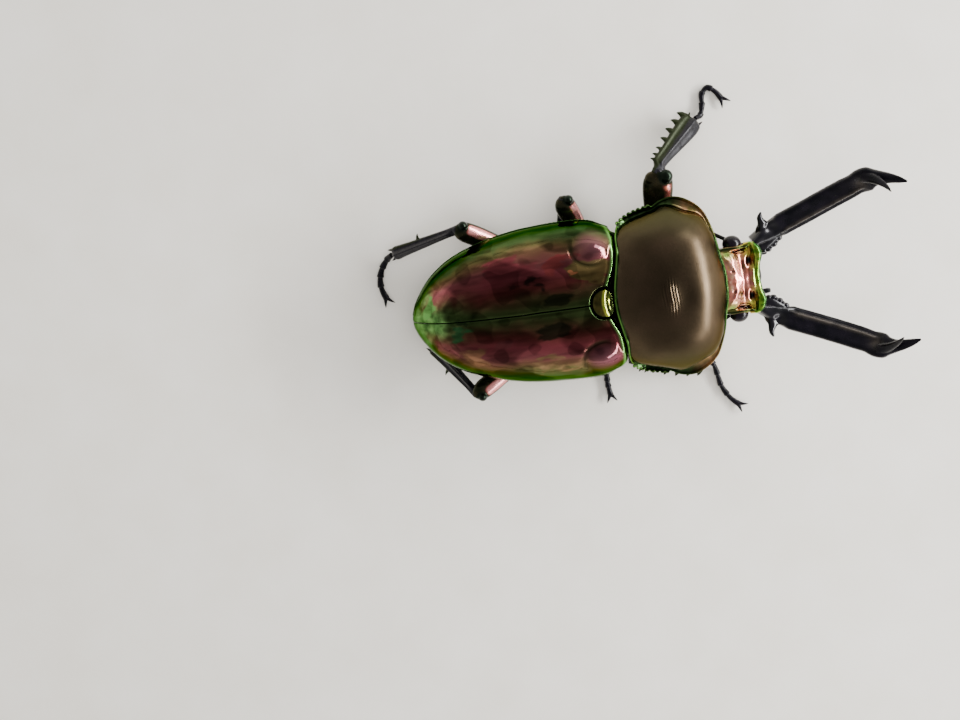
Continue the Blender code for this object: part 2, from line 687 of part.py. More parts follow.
def mandible():
    """One antler: blade, outer thorn, toothed inner lobe and the forked tip."""
    line = smooth_line(MANDIBLE_LINE, 23)
    run = np.concatenate([[0], np.cumsum(np.linalg.norm(np.diff(line, axis=0), axis=1))])
    wide, high = profile(MANDIBLE_HALF_WIDTHS), profile(MANDIBLE_HALF_HEIGHTS)
    up = (0, -math.sin(MANDIBLE_TILT), math.cos(MANDIBLE_TILT))
    blade = tube("mandible_left", line, wide(run), high(run), up, 10)
    thorn = smooth_line(THORN_LINE, 7)
    reach = np.linspace(0, THORN_HALF_WIDTHS[-1][0], 7)
    pieces = [
        pillow("root", MANDIBLE_ROOT, ROOT_HALF_HEIGHT),
        tube("thorn", thorn, profile(THORN_HALF_WIDTHS)(reach), profile(THORN_HALF_HEIGHTS)(reach),
             (0, 0, 1), 6),
        cone("prong", (58.9, 11.0, 11.75), (61.25, 8.95, 15.7), 0.85, (0.35, 0.25, -0.15), 6, 5),
    ]
    for x, y in LOBE_TEETH:
        pieces.append(cone("tooth", (46.9, 4.6, 7.9), (x, y, 8.0), 0.5, rows=3))
    return fuse(blade, pieces)


def antenna():
    """A long first joint, six beads and a club of three leaves."""
    elbow = (39.6, 6.3, 4.7)
    scape = smooth_line([(43.3, 3.9, 6.9), (42.3, 4.7, 6.1), (41.0, 5.5, 5.3), elbow], 8)
    radii = [0.28, 0.28, 0.28, 0.28, 0.3, 0.34, 0.4, 0.3]
    stem = tube("antenna_left", scape, radii, radii, (0, 0, 1), 6)
    beads = smooth_line([elbow, (39.0, 7.2, 4.3), (38.2, 7.8, 4.1), (37.2, 8.0, 4.0)], 19)
    swell = [0.3 + 0.1 * abs(math.sin(math.pi * i / 3)) for i in range(19)]
    pieces = [tube("beads", beads, swell, swell, (0, 0, 1), 6)]
    for i in range(3):
        root = (37.3 - 0.45 * i, 8.0, 4.0)
        tip = (36.4 - 0.55 * i, 9.1 - 0.15 * i, 3.5)
        line = np.linspace(root, tip, 5)
        pieces.append(tube(
            "leaf", line, [0.26, 0.32, 0.36, 0.32, 0.2],
            [0.2, 0.26, 0.28, 0.26, 0.15], (0, 0, 1), 6,
        ))
    spine = np.linspace((37.5, 8.0, 4.0), (36.0, 7.8, 3.9), 4)
    pieces.append(tube("axis", spine, [0.3] * 4, [0.3] * 4, (0, 0, 1), 6))
    return fuse(stem, pieces)


def palp():
    """A jointed feeler under the mouth."""
    line = smooth_line([(43.4, 1.6, 6.1), (44.7, 2.0, 5.8), (46.0, 2.5, 5.8), (47.2, 2.5, 5.7)], 13)
    swell = [0.28 + 0.09 * abs(math.sin(math.pi * i / 4)) for i in range(13)]
    return tube("palp_left", line, swell, swell, (0, 0, 1), 7)


def femur(name, leg):
    """The thigh: a spindle from the coxa to the knee."""
    hip, knee = np.array(leg["hip"]), np.array(leg["knee"])
    share = np.array([-0.08, 0.0, 0.12, 0.28, 0.45, 0.62, 0.78, 0.9, 0.98, 1.04])
    line = hip + np.outer(share, knee - hip)
    line[:, 2] -= FEMUR_SAG * 4 * share * (1 - share)
    widest = FEMUR_WIDTH[name.split("_")[0]] / 2
    wide = widest * np.array([0.4, 0.5, 0.6, 0.72, 0.84, 0.95, 1.0, 1.0, 0.9, 0.45])
    high = [0.5, 0.65, 0.75, 0.9, 1.0, 1.05, 1.05, 0.95, 0.75, 0.35]
    return tube(f"femur_{name}", line, wide, high, (0, 0, 1), 10)


def tibia(name, leg):
    """The shin, broad and toothed on a fore leg, slender with one spine on the others."""
    knee, ankle = np.array(leg["knee"]), np.array(leg["ankle"])
    fore = name.startswith("fore")
    share = np.array([-0.04, 0.05, 0.15, 0.3, 0.5, 0.7, 0.85, 0.95, 1.0])
    wide = FORE_SHIN if fore else SHIN
    high = [0.4, 0.5, 0.5, 0.5, 0.55, 0.6, 0.65, 0.65, 0.45]
    along = unit(ankle - knee)
    flat = unit(np.cross(along, (0, 0, 1)))
    outward = flat if flat @ np.array([-1, 0.35 * side_of(name), 0]) > 0 else -flat
    up = np.cross(outward, along)
    bow = FORE_BOW * (share > 0.1) * (1.2 - share) if fore else np.zeros(len(share))
    line = knee + np.outer(share, ankle - knee) + np.outer(bow, outward)
    made = tube(f"tibia_{name}", line, wide, high, up, 8)
    width, shift = profile(list(zip(share, wide))), profile(list(zip(share, bow)))
    pieces = []
    for at, length, radius in FORE_TEETH if fore else [(0.58, 0.55, 0.28)]:
        foot = knee + (ankle - knee) * at + outward * shift(at)
        root = foot + outward * (width(at) - 0.35)
        tip = foot + outward * (width(at) + length) - along * 0.12
        pieces.append(cone("tooth", root, tip, radius, along * 0.1, 4, 3, 0.6, up))
    for across in (-0.55, 0.55):
        root = ankle - along * 0.4 + outward * across * wide[-2]
        tip = root + along * 1.15 + outward * across * 0.5
        pieces.append(cone("spur", root, tip, 0.26, rows=3))
    return fuse(made, pieces)


def tarsus(name, leg):
    """The foot: four flared beads, a long last joint and two claws, flat where it rests."""
    ankle = np.array(leg["ankle"])
    knee = np.array(leg["knee"])
    start = ankle + unit(ankle - knee) * (GAP + 0.1)
    line = smooth_line([start, *leg["foot"]], 17)
    least = TARSUS_RADIUS[name.split("_")[0]]
    radii = []
    for i in range(17):
        radii.append(least + (0.07 * (i % 3) if i < 12 else 0.02 * (i - 12)))
    made = tube(f"tarsus_{name}", line, radii, radii, (0, 0, 1), 6)
    end, before = line[-1], line[-3]
    ahead = unit((end - before) * (1, 1, 0))
    aside = np.cross((0, 0, 1), ahead)
    pieces = []
    for turn in (-1, 1):
        tip = end + ahead * CLAW_LENGTH * 0.8 + aside * turn * 0.75
        tip[2] = 0.12
        root = end - ahead * 0.15 + aside * turn * 0.08
        pieces.append(cone("claw", root, tip, 0.24, (0, 0, 0.35), 5, 4))
    fuse(made, pieces)
    return combine(made, [slab_under(end)], "DIFFERENCE")


def slab_under(point):
    """A block below the floor, used to flatten what would go through it."""
    square = [(-15, -15), (15, -15), (15, 15), (-15, 15)]
    rings = [[(point[0] + x, point[1] + y, z) for x, y in square] for z in (-9.0, FLOOR)]
    return loft("slab", rings)


# What the thighs of each pair of legs are cut back from.
ROOTS = {
    "fore": [prothorax_pieces], "mid": [thorax_pieces],
    "hind": [thorax_pieces, lambda: [abdomen()]],
}


def build_body():
    """The parts of the trunk, each cut back from what it grows from."""
    front = prothorax()
    rear = clear_of(thorax(), front)
    shield = clear_of(scutellum(), front)
    clear_of(rear, shield)
    case = clear_of(elytron(), shield, front)
    made = [front, rear, abdomen(), shield, case, mirror_of(case)]
    return {part.name: part for part in made}


def build_head(front):
    """The head and what it carries."""
    skull = clear_of(head(), front)
    ball = clear_of(eye(), front)
    twin = mirror_of(ball)
    clear_of(skull, ball, twin)
    made = [skull, ball, twin]
    for piece in (clear_of(mandible(), skull), clear_of(antenna(), skull, ball),
                  clear_of(palp(), skull)):
        made += [piece, mirror_of(piece)]
    return {part.name: part for part in made}


def build_leg(name):
    """The three nodes of one leg, each cut back from the one before it."""
    leg = LEGS[name]
    thigh = socket(femur(name, leg), ROOTS[name.split("_")[0]])
    shin = clear_of(tibia(name, leg), thigh)
    foot = clear_of(tarsus(name, leg), shin)
    return {thigh.name: thigh, shin.name: shin, foot.name: foot}


def centre_on_floor(parts):
    """Moves every part so that the origin is under the middle of the bounding box."""
    corners = np.array([v.co for part in parts for v in part.data.vertices])
    middle = (corners.min(axis=0) + corners.max(axis=0)) / 2
    for part in parts:
        for vertex in part.data.vertices:
            vertex.co -= Vector((middle[0], middle[1], 0))


def finish_of(name):
    """Which finish a node wears."""
    first = name.split("_")[0]
    return {
        "prothorax": "bronze", "elytron": "rainbow", "scutellum": "green", "head": "copper",
        "femur": "copper", "thorax": "belly", "abdomen": "belly", "eye": "eye",
    }.get(first, "black")


def main():
    for old in list(bpy.data.objects):
        bpy.data.objects.remove(old)
    finishes = make_finishes()
    parts = build_body()
    parts.update(build_head(parts["prothorax"]))
    for name in LEGS:
        parts.update(build_leg(name))
    for name, part in parts.items():
        part.data.materials.clear()
        part.data.materials.append(finishes[finish_of(name)])
        part.data.shade_smooth()
    centre_on_floor(list(parts.values()))


main()
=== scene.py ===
import math

import bpy
import numpy as np
from mathutils import Matrix, Vector


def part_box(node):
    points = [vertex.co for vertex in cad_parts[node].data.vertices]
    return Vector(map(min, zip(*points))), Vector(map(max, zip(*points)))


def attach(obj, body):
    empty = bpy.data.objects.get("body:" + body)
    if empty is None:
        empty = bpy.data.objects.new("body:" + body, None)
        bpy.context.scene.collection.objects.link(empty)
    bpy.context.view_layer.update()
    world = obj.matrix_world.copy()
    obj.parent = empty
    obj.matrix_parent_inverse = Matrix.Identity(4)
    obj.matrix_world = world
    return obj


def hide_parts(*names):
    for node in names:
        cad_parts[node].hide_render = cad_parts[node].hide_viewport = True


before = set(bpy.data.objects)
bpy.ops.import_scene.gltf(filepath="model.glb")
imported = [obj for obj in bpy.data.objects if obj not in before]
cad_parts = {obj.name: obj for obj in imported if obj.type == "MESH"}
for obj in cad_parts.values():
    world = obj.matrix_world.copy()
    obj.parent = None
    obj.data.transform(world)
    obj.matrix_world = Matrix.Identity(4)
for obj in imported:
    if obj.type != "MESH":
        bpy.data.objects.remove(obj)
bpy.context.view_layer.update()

# A large male rainbow stag beetle. Everything is worked out in millimetres in the beetle's
# own frame: x from the tip of the wing cases to the mandibles, y to its left, z up from the
# floor. It becomes metres in the CAD's frame when a mesh is made.
MM = 0.001

SIDES = ((1, "left"), (-1, "right"))

low_left, high_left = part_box("elytron_left")
low_right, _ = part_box("elytron_right")
ELYTRA_TIP = 0.8
ELYTRA_BASE = 26.6
MIDDLE = np.array([
    ELYTRA_TIP - low_left.x / MM, -(high_left.y + low_right.y) / 2 / MM, 0.0,
])

ELYTRA_HALF_WIDTH = 10.2
ELYTRA_WALL = 0.9
# How far the rolled rim of a wing case, its groove and its second ridge are from the edge.
EDGE_RIM = 0.18
EDGE_GROOVE = 0.50
SECOND_RIDGE = 0.86
# The small teeth along the shoulder.
SHOULDER = 22.6
TOOTH_LENGTH = 0.55
# The callus, a round bump on the shoulder.
CALLUS_X = 24.2
CALLUS_Y = 7.1
CALLUS_RADIUS = 2.15
CALLUS_HEIGHT = 0.70
SUTURE_HALF_GAP = 0.05
PRONOTUM_REAR = 26.5
PRONOTUM_MIDDLE = PRONOTUM_REAR + 7.4
PRONOTUM_TOP = 16.0
# The wrinkled boss on its disc.
BOSS_X = PRONOTUM_MIDDLE - 0.55
BOSS_Y = -0.15
WRINKLE_LENGTH = 0.36
STERNUM_BOTTOM = 4.3
GAP = 0.3
THORAX_REAR = 15.2
THORAX_FRONT = 30.5
ABDOMEN_TIP = 2.4
HEAD_REAR = 38.5
HEAD_FRONT = 45.1
# The powers of the rounded sections of the wing cases and the head.
ARCH_POWER = 2 / 2.3
HEAD_POWER = 2 / 2.7

PRONOTUM_EDGE = [
    (0.15, 0.0, 14.1), (0.25, 1.5, 14.05), (0.65, 3.6, 13.7), (1.1, 5.8, 12.9),
    (1.35, 8.1, 11.2), (1.8, 8.95, 10.0), (3.2, 9.8, 9.1), (5.3, 10.4, 8.8),
    (6.4, 10.6, 8.8), (7.4, 11.15, 8.8), (9.3, 11.45, 8.8), (11.1, 10.75, 8.9),
    (12.6, 9.35, 9.2), (13.3, 7.6, 9.8), (13.7, 6.0, 10.5), (14.0, 3.7, 11.4),
    (14.35, 1.65, 12.0), (14.4, 0.0, 12.1),
]
# The beads on each side of the pronotum.
FIRST_BEAD = 1.75
BEAD_LENGTH = 0.66
BEADS = 8
ELYTRA_HALF_WIDTHS = [
    (ELYTRA_TIP, 0.8), (1.2, 1.9), (1.85, 3.0), (2.7, 4.2), (3.9, 5.5), (6.1, 7.1), (8.1, 8.05),
    (10.5, 8.85), (12.6, 9.4), (16.5, 10.0), (20.4, ELYTRA_HALF_WIDTH), (23.4, 10.15),
    (24.9, 9.95), (25.9, 9.55), (ELYTRA_BASE, 8.9),
]
ELYTRA_RIDGE = [
    (ELYTRA_TIP, 7.7), (1.2, 8.6), (1.85, 9.5), (2.7, 10.6), (3.9, 11.8), (6.1, 13.1),
    (9.0, 14.1), (12.6, 14.7), (16.5, 15.0), (20.4, 15.0), (23.4, 14.7), (ELYTRA_BASE, 13.9),
]
ELYTRA_EDGE = [(ELYTRA_TIP, 6.7), (4.0, 6.7), (12.0, 7.1), (20.0, 7.6), (ELYTRA_BASE, 8.6)]
FRONT_MARGIN = [
    (0.0, -0.35), (1.6, -0.25), (2.8, 0.05), (4.8, 0.55), (6.3, 0.8), (7.6, 0.9), (8.9, 0.5),
    (9.6, -0.2),
]
SCUTELLUM_MIDDLE = 25.2
SCUTELLUM_FRONT = 1.15
SCUTELLUM_BACK = 1.5
SCUTELLUM_HALF_WIDTH = 1.75
SCUTELLUM_TOP = 14.50
# Where the shield's smooth rolled front ends.
ROLL_FRONT = 25.3
BELLY = [
    (2.4, 6.0), (3.6, 5.4), (7.0, 4.6), (12.0, 4.1), (18.0, 3.8), (24.0, 3.7), (THORAX_FRONT, 5.0),
]
NECKING = [(0.0, 0.0), (19.0, 0.0), (24.0, 0.7), (27.0, 1.6), (THORAX_FRONT, 2.6)]
NARROWING = [(0.0, 1.0), (24.0, 1.0), (THORAX_FRONT, 0.7)]
STERNITE_EDGES = [3.7, 6.2, 8.8, 11.4, 14.2]
STERNITE_STEP = 0.22
HEAD_HALF_WIDTHS = [
    (37.0, 3.9), (40.4, 4.1), (41.8, 4.15), (42.8, 3.8), (43.5, 3.75), (44.2, 3.95), (44.8, 4.0),
    (HEAD_FRONT, 3.8),
]
HEAD_TOP = [
    (37.0, 10.6), (40.6, 11.1), (42.0, 10.9), (43.4, 10.1), (44.5, 10.1), (HEAD_FRONT, 9.5),
]
# The green ridge along the front of the head: crest line, half-width there.
HEAD_RIDGE = [
    (43.9, -4.15, 9.25, 0.28), (44.6, -4.35, 9.35, 0.42), (45.15, -3.75, 9.5, 0.62),
    (45.3, -3.0, 9.6, 0.70), (45.12, -1.8, 9.58, 0.52), (44.98, 0.0, 9.55, 0.46),
    (45.12, 1.8, 9.58, 0.52), (45.3, 3.0, 9.6, 0.70), (45.15, 3.75, 9.5, 0.62),
    (44.6, 4.35, 9.35, 0.42), (43.9, 4.15, 9.25, 0.28),
]
# The raised edge of each cheek.
CHEEK_LINE = [
    (40.6, 3.9, 9.7), (41.4, 4.05, 9.85), (42.5, 4.05, 9.85), (43.5, 4.1, 9.6), (44.3, 4.2, 9.35),
]
# Where the arms of the raised X on the head meet.
CROSSING = 43.1
HEAD_UNDERSIDE = [(37.0, 5.3), (40.5, 5.7), (43.0, 6.1), (HEAD_FRONT, 7.0)]
EYE_CENTRE = (42.42, 4.55, 8.75)
EYE_RADII = (1.2, 1.05, 1.15)
MANDIBLE_LINE = [
    (45.1, 4.4, 7.9), (46.2, 4.85, 7.9), (47.5, 5.4, 8.0), (49.0, 6.05, 8.2), (52.0, 7.3, 8.8),
    (55.0, 8.6, 9.4), (57.5, 9.7, 10.3), (59.4, 10.55, 11.5), (60.9, 10.6, 12.6),
    (62.3, 10.3, 13.5), (63.6, 9.85, 14.3),
]
MANDIBLE_HALF_WIDTHS = [
    (0.0, 0.45), (1.2, 0.85), (2.5, 1.15), (3.6, 1.35), (4.4, 1.55), (7.5, 1.55), (13.0, 1.55),
    (14.4, 1.5), (15.6, 1.65), (16.4, 1.6), (17.3, 1.1), (18.2, 0.8), (19.2, 0.62), (20.3, 0.42),
    (21.4, 0.1),
]
MANDIBLE_HALF_HEIGHTS = [
    (0.0, 1.2), (2.0, 1.0), (4.5, 0.75), (10.0, 0.7), (15.5, 0.7), (18.0, 0.5), (21.4, 0.1),
]
MANDIBLE_TILT = math.radians(18)
# The outline of its root: the rear edge, the foot of the thorn, the outer edge, the lobe.
MANDIBLE_ROOT = [
    (45.2, 3.9, 7.95), (45.55, 5.2, 7.95), (45.8, 6.1, 8.1), (46.3, 6.7, 8.2), (47.1, 6.7, 8.1),
    (48.3, 7.3, 8.1), (49.6, 7.5, 8.2), (49.6, 6.2, 8.2), (48.9, 4.9, 8.1), (48.4, 4.1, 8.0),
    (47.8, 3.6, 8.0), (47.2, 3.2, 8.0), (46.6, 2.95, 8.0), (45.9, 3.1, 7.95),
]
ROOT_HALF_HEIGHT = 0.6
ROOT_HOLLOW = (47.5, 5.85)
THORN_FOOT = (47.0, 6.1)
# The upper prong near the tip: its root, its tip, its root radius and how its middle bends.
PRONG = ((58.9, 11.0, 11.75), (61.25, 8.95, 15.7), 0.80, (0.35, 0.25, -0.15))
# The teeth of the inner lobe: where they are and their size. They share one height.
LOBE_HEIGHT = 7.98
LOBE_TEETH = [
    (48.50, 4.40, 0.50), (48.20, 3.98, 0.30), (47.82, 3.66, 0.48), (47.42, 3.34, 0.28),
    (47.08, 3.10, 0.44), (46.50, 2.98, 0.34),
]
# The thorn's middle line, and its half-width and half-height along that line.
THORN_LINE = [
    (47.1, 5.0, 8.1), (46.8, 6.0, 8.3), (46.5, 6.7, 8.5), (46.3, 7.35, 8.75), (46.45, 8.05, 9.0),
]
THORN_HALF_WIDTHS = [(0.0, 1.35), (0.9, 1.0), (1.6, 0.66), (2.2, 0.44), (2.8, 0.3), (3.3, 0.1)]
THORN_HALF_HEIGHTS = [(0.0, 0.75), (1.6, 0.55), (2.5, 0.38), (3.3, 0.1)]
# The middle lines of an antenna's long first joint and its beads, and of a palp.
SCAPE_LINE = [(43.3, 3.9, 6.9), (42.3, 4.7, 6.1), (41.0, 5.5, 5.3), (39.6, 6.3, 4.7)]
BEAD_LINE = [SCAPE_LINE[-1], (39.0, 7.2, 4.3), (38.2, 7.8, 4.1), (37.2, 8.0, 4.0)]
PALP_LINE = [(43.4, 1.6, 6.1), (44.7, 2.0, 5.8), (46.0, 2.5, 5.8), (47.2, 2.5, 5.7)]
# The height of the feet's middle lines where they lie on the floor.
FOOT = 0.38
LEGS = {
    "fore_left": {
        "hip": (33.6, 5.2, 4.2), "knee": (34.4, 14.5, 7.1), "ankle": (40.3, 20.3, 1.7),
        "foot": [(41.3, 20.8, 0.8), (41.75, 22.1, 0.45), (41.95, 23.6, FOOT),
                 (42.6, 24.2, FOOT), (43.6, 23.6, FOOT), (44.4, 22.5, FOOT)],
    },
    "fore_right": {
        "hip": (34.4, -4.8, 4.2), "knee": (28.5, -9.4, 2.9), "ankle": (38.1, -11.1, 1.5),
        "foot": [(39.3, -12.1, 0.8), (39.85, -14.0, 0.45), (40.1, -15.2, FOOT),
                 (40.7, -16.5, FOOT), (41.6, -17.7, FOOT), (42.3, -18.3, FOOT)],
    },
    "mid_left": {
        "hip": (25.0, 5.2, 3.6), "knee": (21.9, 12.9, 7.2), "ankle": (21.1, 5.4, 1.5),
        "foot": [(20.8, 4.4, 0.75), (20.1, 3.4, 0.45), (18.9, 2.7, FOOT), (17.6, 2.6, FOOT),
                 (16.5, 3.0, FOOT)],
    },
    "mid_right": {
        "hip": (25.0, -5.3, 3.5), "knee": (17.0, -9.8, 4.7), "ankle": (24.4, -10.2, 1.5),
        "foot": [(24.9, -11.0, 0.8), (25.0, -12.0, 0.5), (25.0, -13.0, FOOT),
                 (25.1, -13.9, FOOT), (25.2, -14.7, FOOT)],
    },
    "hind_left": {
        "hip": (16.6, 6.0, 3.5), "knee": (8.2, 11.0, 7.1), "ankle": (-0.9, 8.5, 1.8),
        "foot": [(-2.1, 7.7, 0.8), (-3.0, 6.4, 0.45), (-3.4, 5.0, FOOT), (-3.3, 3.6, FOOT),
                 (-2.9, 2.5, FOOT)],
    },
    "hind_right": {
        "hip": (16.6, -6.0, 3.5), "knee": (7.6, -10.8, 6.6), "ankle": (2.4, -4.7, 1.4),
        "foot": [(1.9, -3.7, 0.75), (1.6, -2.5, 0.45), (1.7, -1.2, FOOT), (2.1, -0.1, FOOT),
                 (2.7, 0.8, FOOT)],
    },
}
FEMUR_WIDTH = {"fore": 3.9, "mid": 2.8, "hind": 2.7}
FEMUR_SAG = 0.4
# The femur's shape: shares of its length, then shares of its half-width, then half-heights.
FEMUR_STATIONS = [-0.08, 0.0, 0.12, 0.28, 0.45, 0.62, 0.78, 0.88, 0.95, 1.0, 1.03, 1.05]
FEMUR_WIDTHS = [0.4, 0.5, 0.6, 0.72, 0.84, 0.95, 1.0, 0.98, 0.88, 0.68, 0.45, 0.1]
FEMUR_HEIGHTS = [0.5, 0.65, 0.75, 0.9, 1.0, 1.05, 1.05, 0.98, 0.85, 0.65, 0.45, 0.1]
TARSUS_RADIUS = {"fore": 0.3, "mid": 0.32, "hind": 0.35}
CLAW_LENGTH = 1.3
# Half-widths and half-heights of the shins at nine stations.
FORE_SHIN = [0.85, 1.0, 0.95, 1.0, 1.2, 1.4, 1.5, 1.4, 0.9]
SHIN = [0.45, 0.6, 0.58, 0.62, 0.7, 0.78, 0.86, 0.92, 0.75]
SHIN_HEIGHTS = [0.4, 0.5, 0.5, 0.5, 0.55, 0.6, 0.65, 0.65, 0.45]
FORE_BOW = 0.6
# The teeth along a shin: share of its length, tooth length, root radius.
SHIN_TOOTH = (0.58, 0.55, 0.28)
FORE_TEETH = [
    (0.13, 0.35, 0.28), (0.21, 0.4, 0.3), (0.32, 0.5, 0.34), (0.48, 0.6, 0.42),
    (0.64, 0.65, 0.46), (0.8, 0.65, 0.48), (0.95, 0.7, 0.5),
]

# The photo's camera, fitted to landmarks: its directions, its place and its focal length.
CAMERA_RIGHT = Vector((0.98991, -0.14047, -0.01872))
CAMERA_UP = Vector((0.13470, 0.97369, -0.18381))
CAMERA_PLACE = (16.84, 27.22, 190.39)
FOCAL_PIXELS = 1430
PHOTO_WIDTH = 960
SENSOR_WIDTH = 36.0

# The studio, in metres, degrees and watts.
FLOOR_SIZE = 3.0
CEILING_HEIGHT = 0.60
CEILING_SIZE = 0.5
CEILING_POWER = 2.1
BOX_DISTANCE = 0.30
BOX_HEIGHT = 0.15
BOX_SIZE = (0.15, 0.06)
FRONT_BOXES = ((-50, 0.22), (-25, 0.65), (0, 1.25), (25, 0.85), (50, 0.22))
LIT_POINT = Vector((0.0, 0.0, 0.01))


# Curves

def hermite(t, start, end, start_tangent, end_tangent):
    return (
        (2 * t**3 - 3 * t**2 + 1) * start
        + (3 * t**2 - 2 * t**3) * end
        + (t**3 - 2 * t**2 + t) * start_tangent
        + (t**3 - t**2) * end_tangent
    )


def profile(knots):
    """A smooth function through (station, value) knots that doesn't overshoot them."""
    xs, ys = (np.array(column, float) for column in zip(*knots))
    slopes = np.diff(ys) / np.diff(xs)
    tangents = np.concatenate([slopes[:1], np.zeros(len(xs) - 2), slopes[-1:]])
    for i in range(1, len(xs) - 1):
        if slopes[i - 1] * slopes[i] > 0:
            tangents[i] = 2 * slopes[i - 1] * slopes[i] / (slopes[i - 1] + slopes[i])

    def value_at(x):
        x = np.clip(x, xs[0], xs[-1])
        i = np.clip(np.searchsorted(xs, x) - 1, 0, len(xs) - 2)
        step = xs[i + 1] - xs[i]
        t = (x - xs[i]) / step
        return hermite(t, ys[i], ys[i + 1], step * tangents[i], step * tangents[i + 1])

    return value_at


def run_of(line):
    """Distance along a line at each of its points."""
    return np.concatenate([[0], np.cumsum(np.linalg.norm(np.diff(line, axis=0), axis=1))])


def smooth_line(points, count):
    """count points, evenly spaced, on a smooth curve through the given points."""
    p = np.array(points, float)
    s = run_of(p)
    tangents = np.gradient(p, s, axis=0)
    dense = np.linspace(0, s[-1], 24 * len(p) + 4 * count)
    i = np.clip(np.searchsorted(s, dense, side="right") - 1, 0, len(p) - 2)
    step = (s[i + 1] - s[i])[:, None]
    t = (dense - s[i])[:, None] / step
    curve = hermite(t, p[i], p[i + 1], step * tangents[i], step * tangents[i + 1])
    run = run_of(curve)
    wanted = np.linspace(0, run[-1], count)
    return np.stack([np.interp(wanted, run, curve[:, k]) for k in range(3)], axis=1)


def circle(count):
    """Cosines and sines of evenly spaced angles."""
    angles = np.arange(count) * 2 * math.pi / count
    return np.cos(angles), np.sin(angles)


def unit(vector):
    return np.array(vector, float) / np.linalg.norm(vector)


def bell(distance, width):
    """A smooth bump that is 1 at 0 and nearly 0 past twice its width."""
    return np.exp(-((distance / width) ** 2))


def spot(x, y, centre, radii):
    """A smooth bump that is 1 at its centre, with its own radius along x and along y."""
    return bell(x - centre[0], radii[0]) * bell(y - centre[1], radii[1])


def step_up(value, low, high):
    """0 below low and 1 above high, smoothly between."""
    t = np.clip((value - low) / (high - low), 0, 1)
    return t * t * (3 - 2 * t)


def signed_power(value, power):
    return np.abs(value) ** power * np.sign(value)


def side_of(name):
    return 1 if name.endswith("left") else -1


def mirrored(points, side):
    return np.array(points, float) * (1, side, 1)


def closed(half):
    """A closed ring from its left half, which starts and ends on the middle line."""
    return np.concatenate([half, mirrored(half, -1)[-2:0:-1]])


def between(value, start, full, fading, end):
    """1 from full to fading, and 0 before start and after end."""
    return step_up(value, start, full) * (1 - step_up(value, fading, end))


def ripple(points, scale, seed):
    """Smooth seeded noise, about -1 to 1, with lumps of this size in millimetres."""
    rng = np.random.default_rng(seed)
    total = np.zeros(len(points))
    for _ in range(14):
        direction = rng.normal(size=3)
        wave = 2 * math.pi / scale * (0.6 + 0.8 * rng.random())
        phase = rng.random() * 2 * math.pi
        total += np.sin(points @ unit(direction) * wave + phase)
    return total / math.sqrt(14)


# Shapes, as (points, faces)

def skin(rings, caps="fan"):
    """A closed skin over rings of equal count."""
    rings = np.array(rings, float)
    rows, count = rings.shape[:2]
    points = list(rings.reshape(-1, 3))
    i, j = np.meshgrid(np.arange(rows - 1), np.arange(count), indexing="ij")
    k = (j + 1) % count
    quads = np.stack([i * count + j, i * count + k, (i + 1) * count + k, (i + 1) * count + j], -1)
    faces = [tuple(q) for q in quads.reshape(-1, 4).tolist()]
    for row in (0, rows - 1):
        start = row * count
        if caps == "strip":
            for j in range(count // 2 - 1):
                back = count - 1 - j
                quad = (start + j, start + j + 1, start + back - 1, start + back)
                faces.append(quad if row else quad[::-1])
            continue
        points.append(rings[row].mean(axis=0))
        for j in range(count):
            triangle = (start + j, start + (j + 1) % count, len(points) - 1)
            faces.append(triangle if row else triangle[::-1])
    return np.array(points), faces


def tube(line, half_widths, half_heights, up=(0, 0, 1), sides=24):
    """An ellipse swept along a line. up is the direction of its height."""
    line = np.array(line, float)
    half_widths = np.broadcast_to(half_widths, len(line))
    half_heights = np.broadcast_to(half_heights, len(line))
    across, high = circle(sides)
    rings = []
    for point, tangent, a, b in zip(line, np.gradient(line, axis=0), half_widths, half_heights):
        side = unit(np.cross(tangent, up))
        top = unit(np.cross(side, tangent))
        rings.append(point + np.outer(across * a, side) + np.outer(high * b, top))
    return skin(rings)


def cone(root, tip, radius, bend=(0, 0, 0), sides=14, rows=12, flat=1.0, up=(0, 0, 1)):
    """A curved spine from a sunken root to a sharp tip."""
    root, tip, bend = (np.array(v, float) for v in (root, tip, bend))
    share = np.linspace(0, 1, rows)[:, None]
    line = root + (tip - root) * share + bend * (4 * share * (1 - share))
    radii = radius * (1 - share[:, 0]) ** 0.8 + 0.02
    return tube(line, radii, radii * flat, up, sides)


def ellipsoid(centre, radii, segments=32, rows=20):
    c, s = circle(segments)
    polar = (math.pi * np.arange(1, rows) / rows)[:, None]
    ball = np.broadcast_arrays(np.sin(polar) * c, np.sin(polar) * s, np.cos(polar))
    points, faces = skin(np.array(centre) + np.array(radii) * np.stack(ball, axis=-1))
    points[-2][2] = centre[2] + radii[2]
    points[-1][2] = centre[2] - radii[2]
    return points, faces


def joined(parts):
    """Several shapes as one."""
    points, faces, start = [], [], 0
    for some_points, some_faces in parts:
        points.append(some_points)
        faces += [tuple(v + start for v in face) for face in some_faces]
        start += len(some_points)
    return np.concatenate(points), faces


def by_size(faces):
    """The faces as arrays, one for each number of corners."""
    sizes = {len(face) for face in faces}
    return [np.array([face for face in faces if len(face) == size]) for size in sizes]


def facing_out(points, faces):
    """The faces, turned round where they bound a negative volume."""
    total = 0.0
    for group in by_size(faces):
        for i in range(1, group.shape[1] - 1):
            a, b, c = points[group[:, 0]], points[group[:, i]], points[group[:, i + 1]]
            total += (a * np.cross(b, c)).sum()
    return faces if total > 0 else [face[::-1] for face in faces]


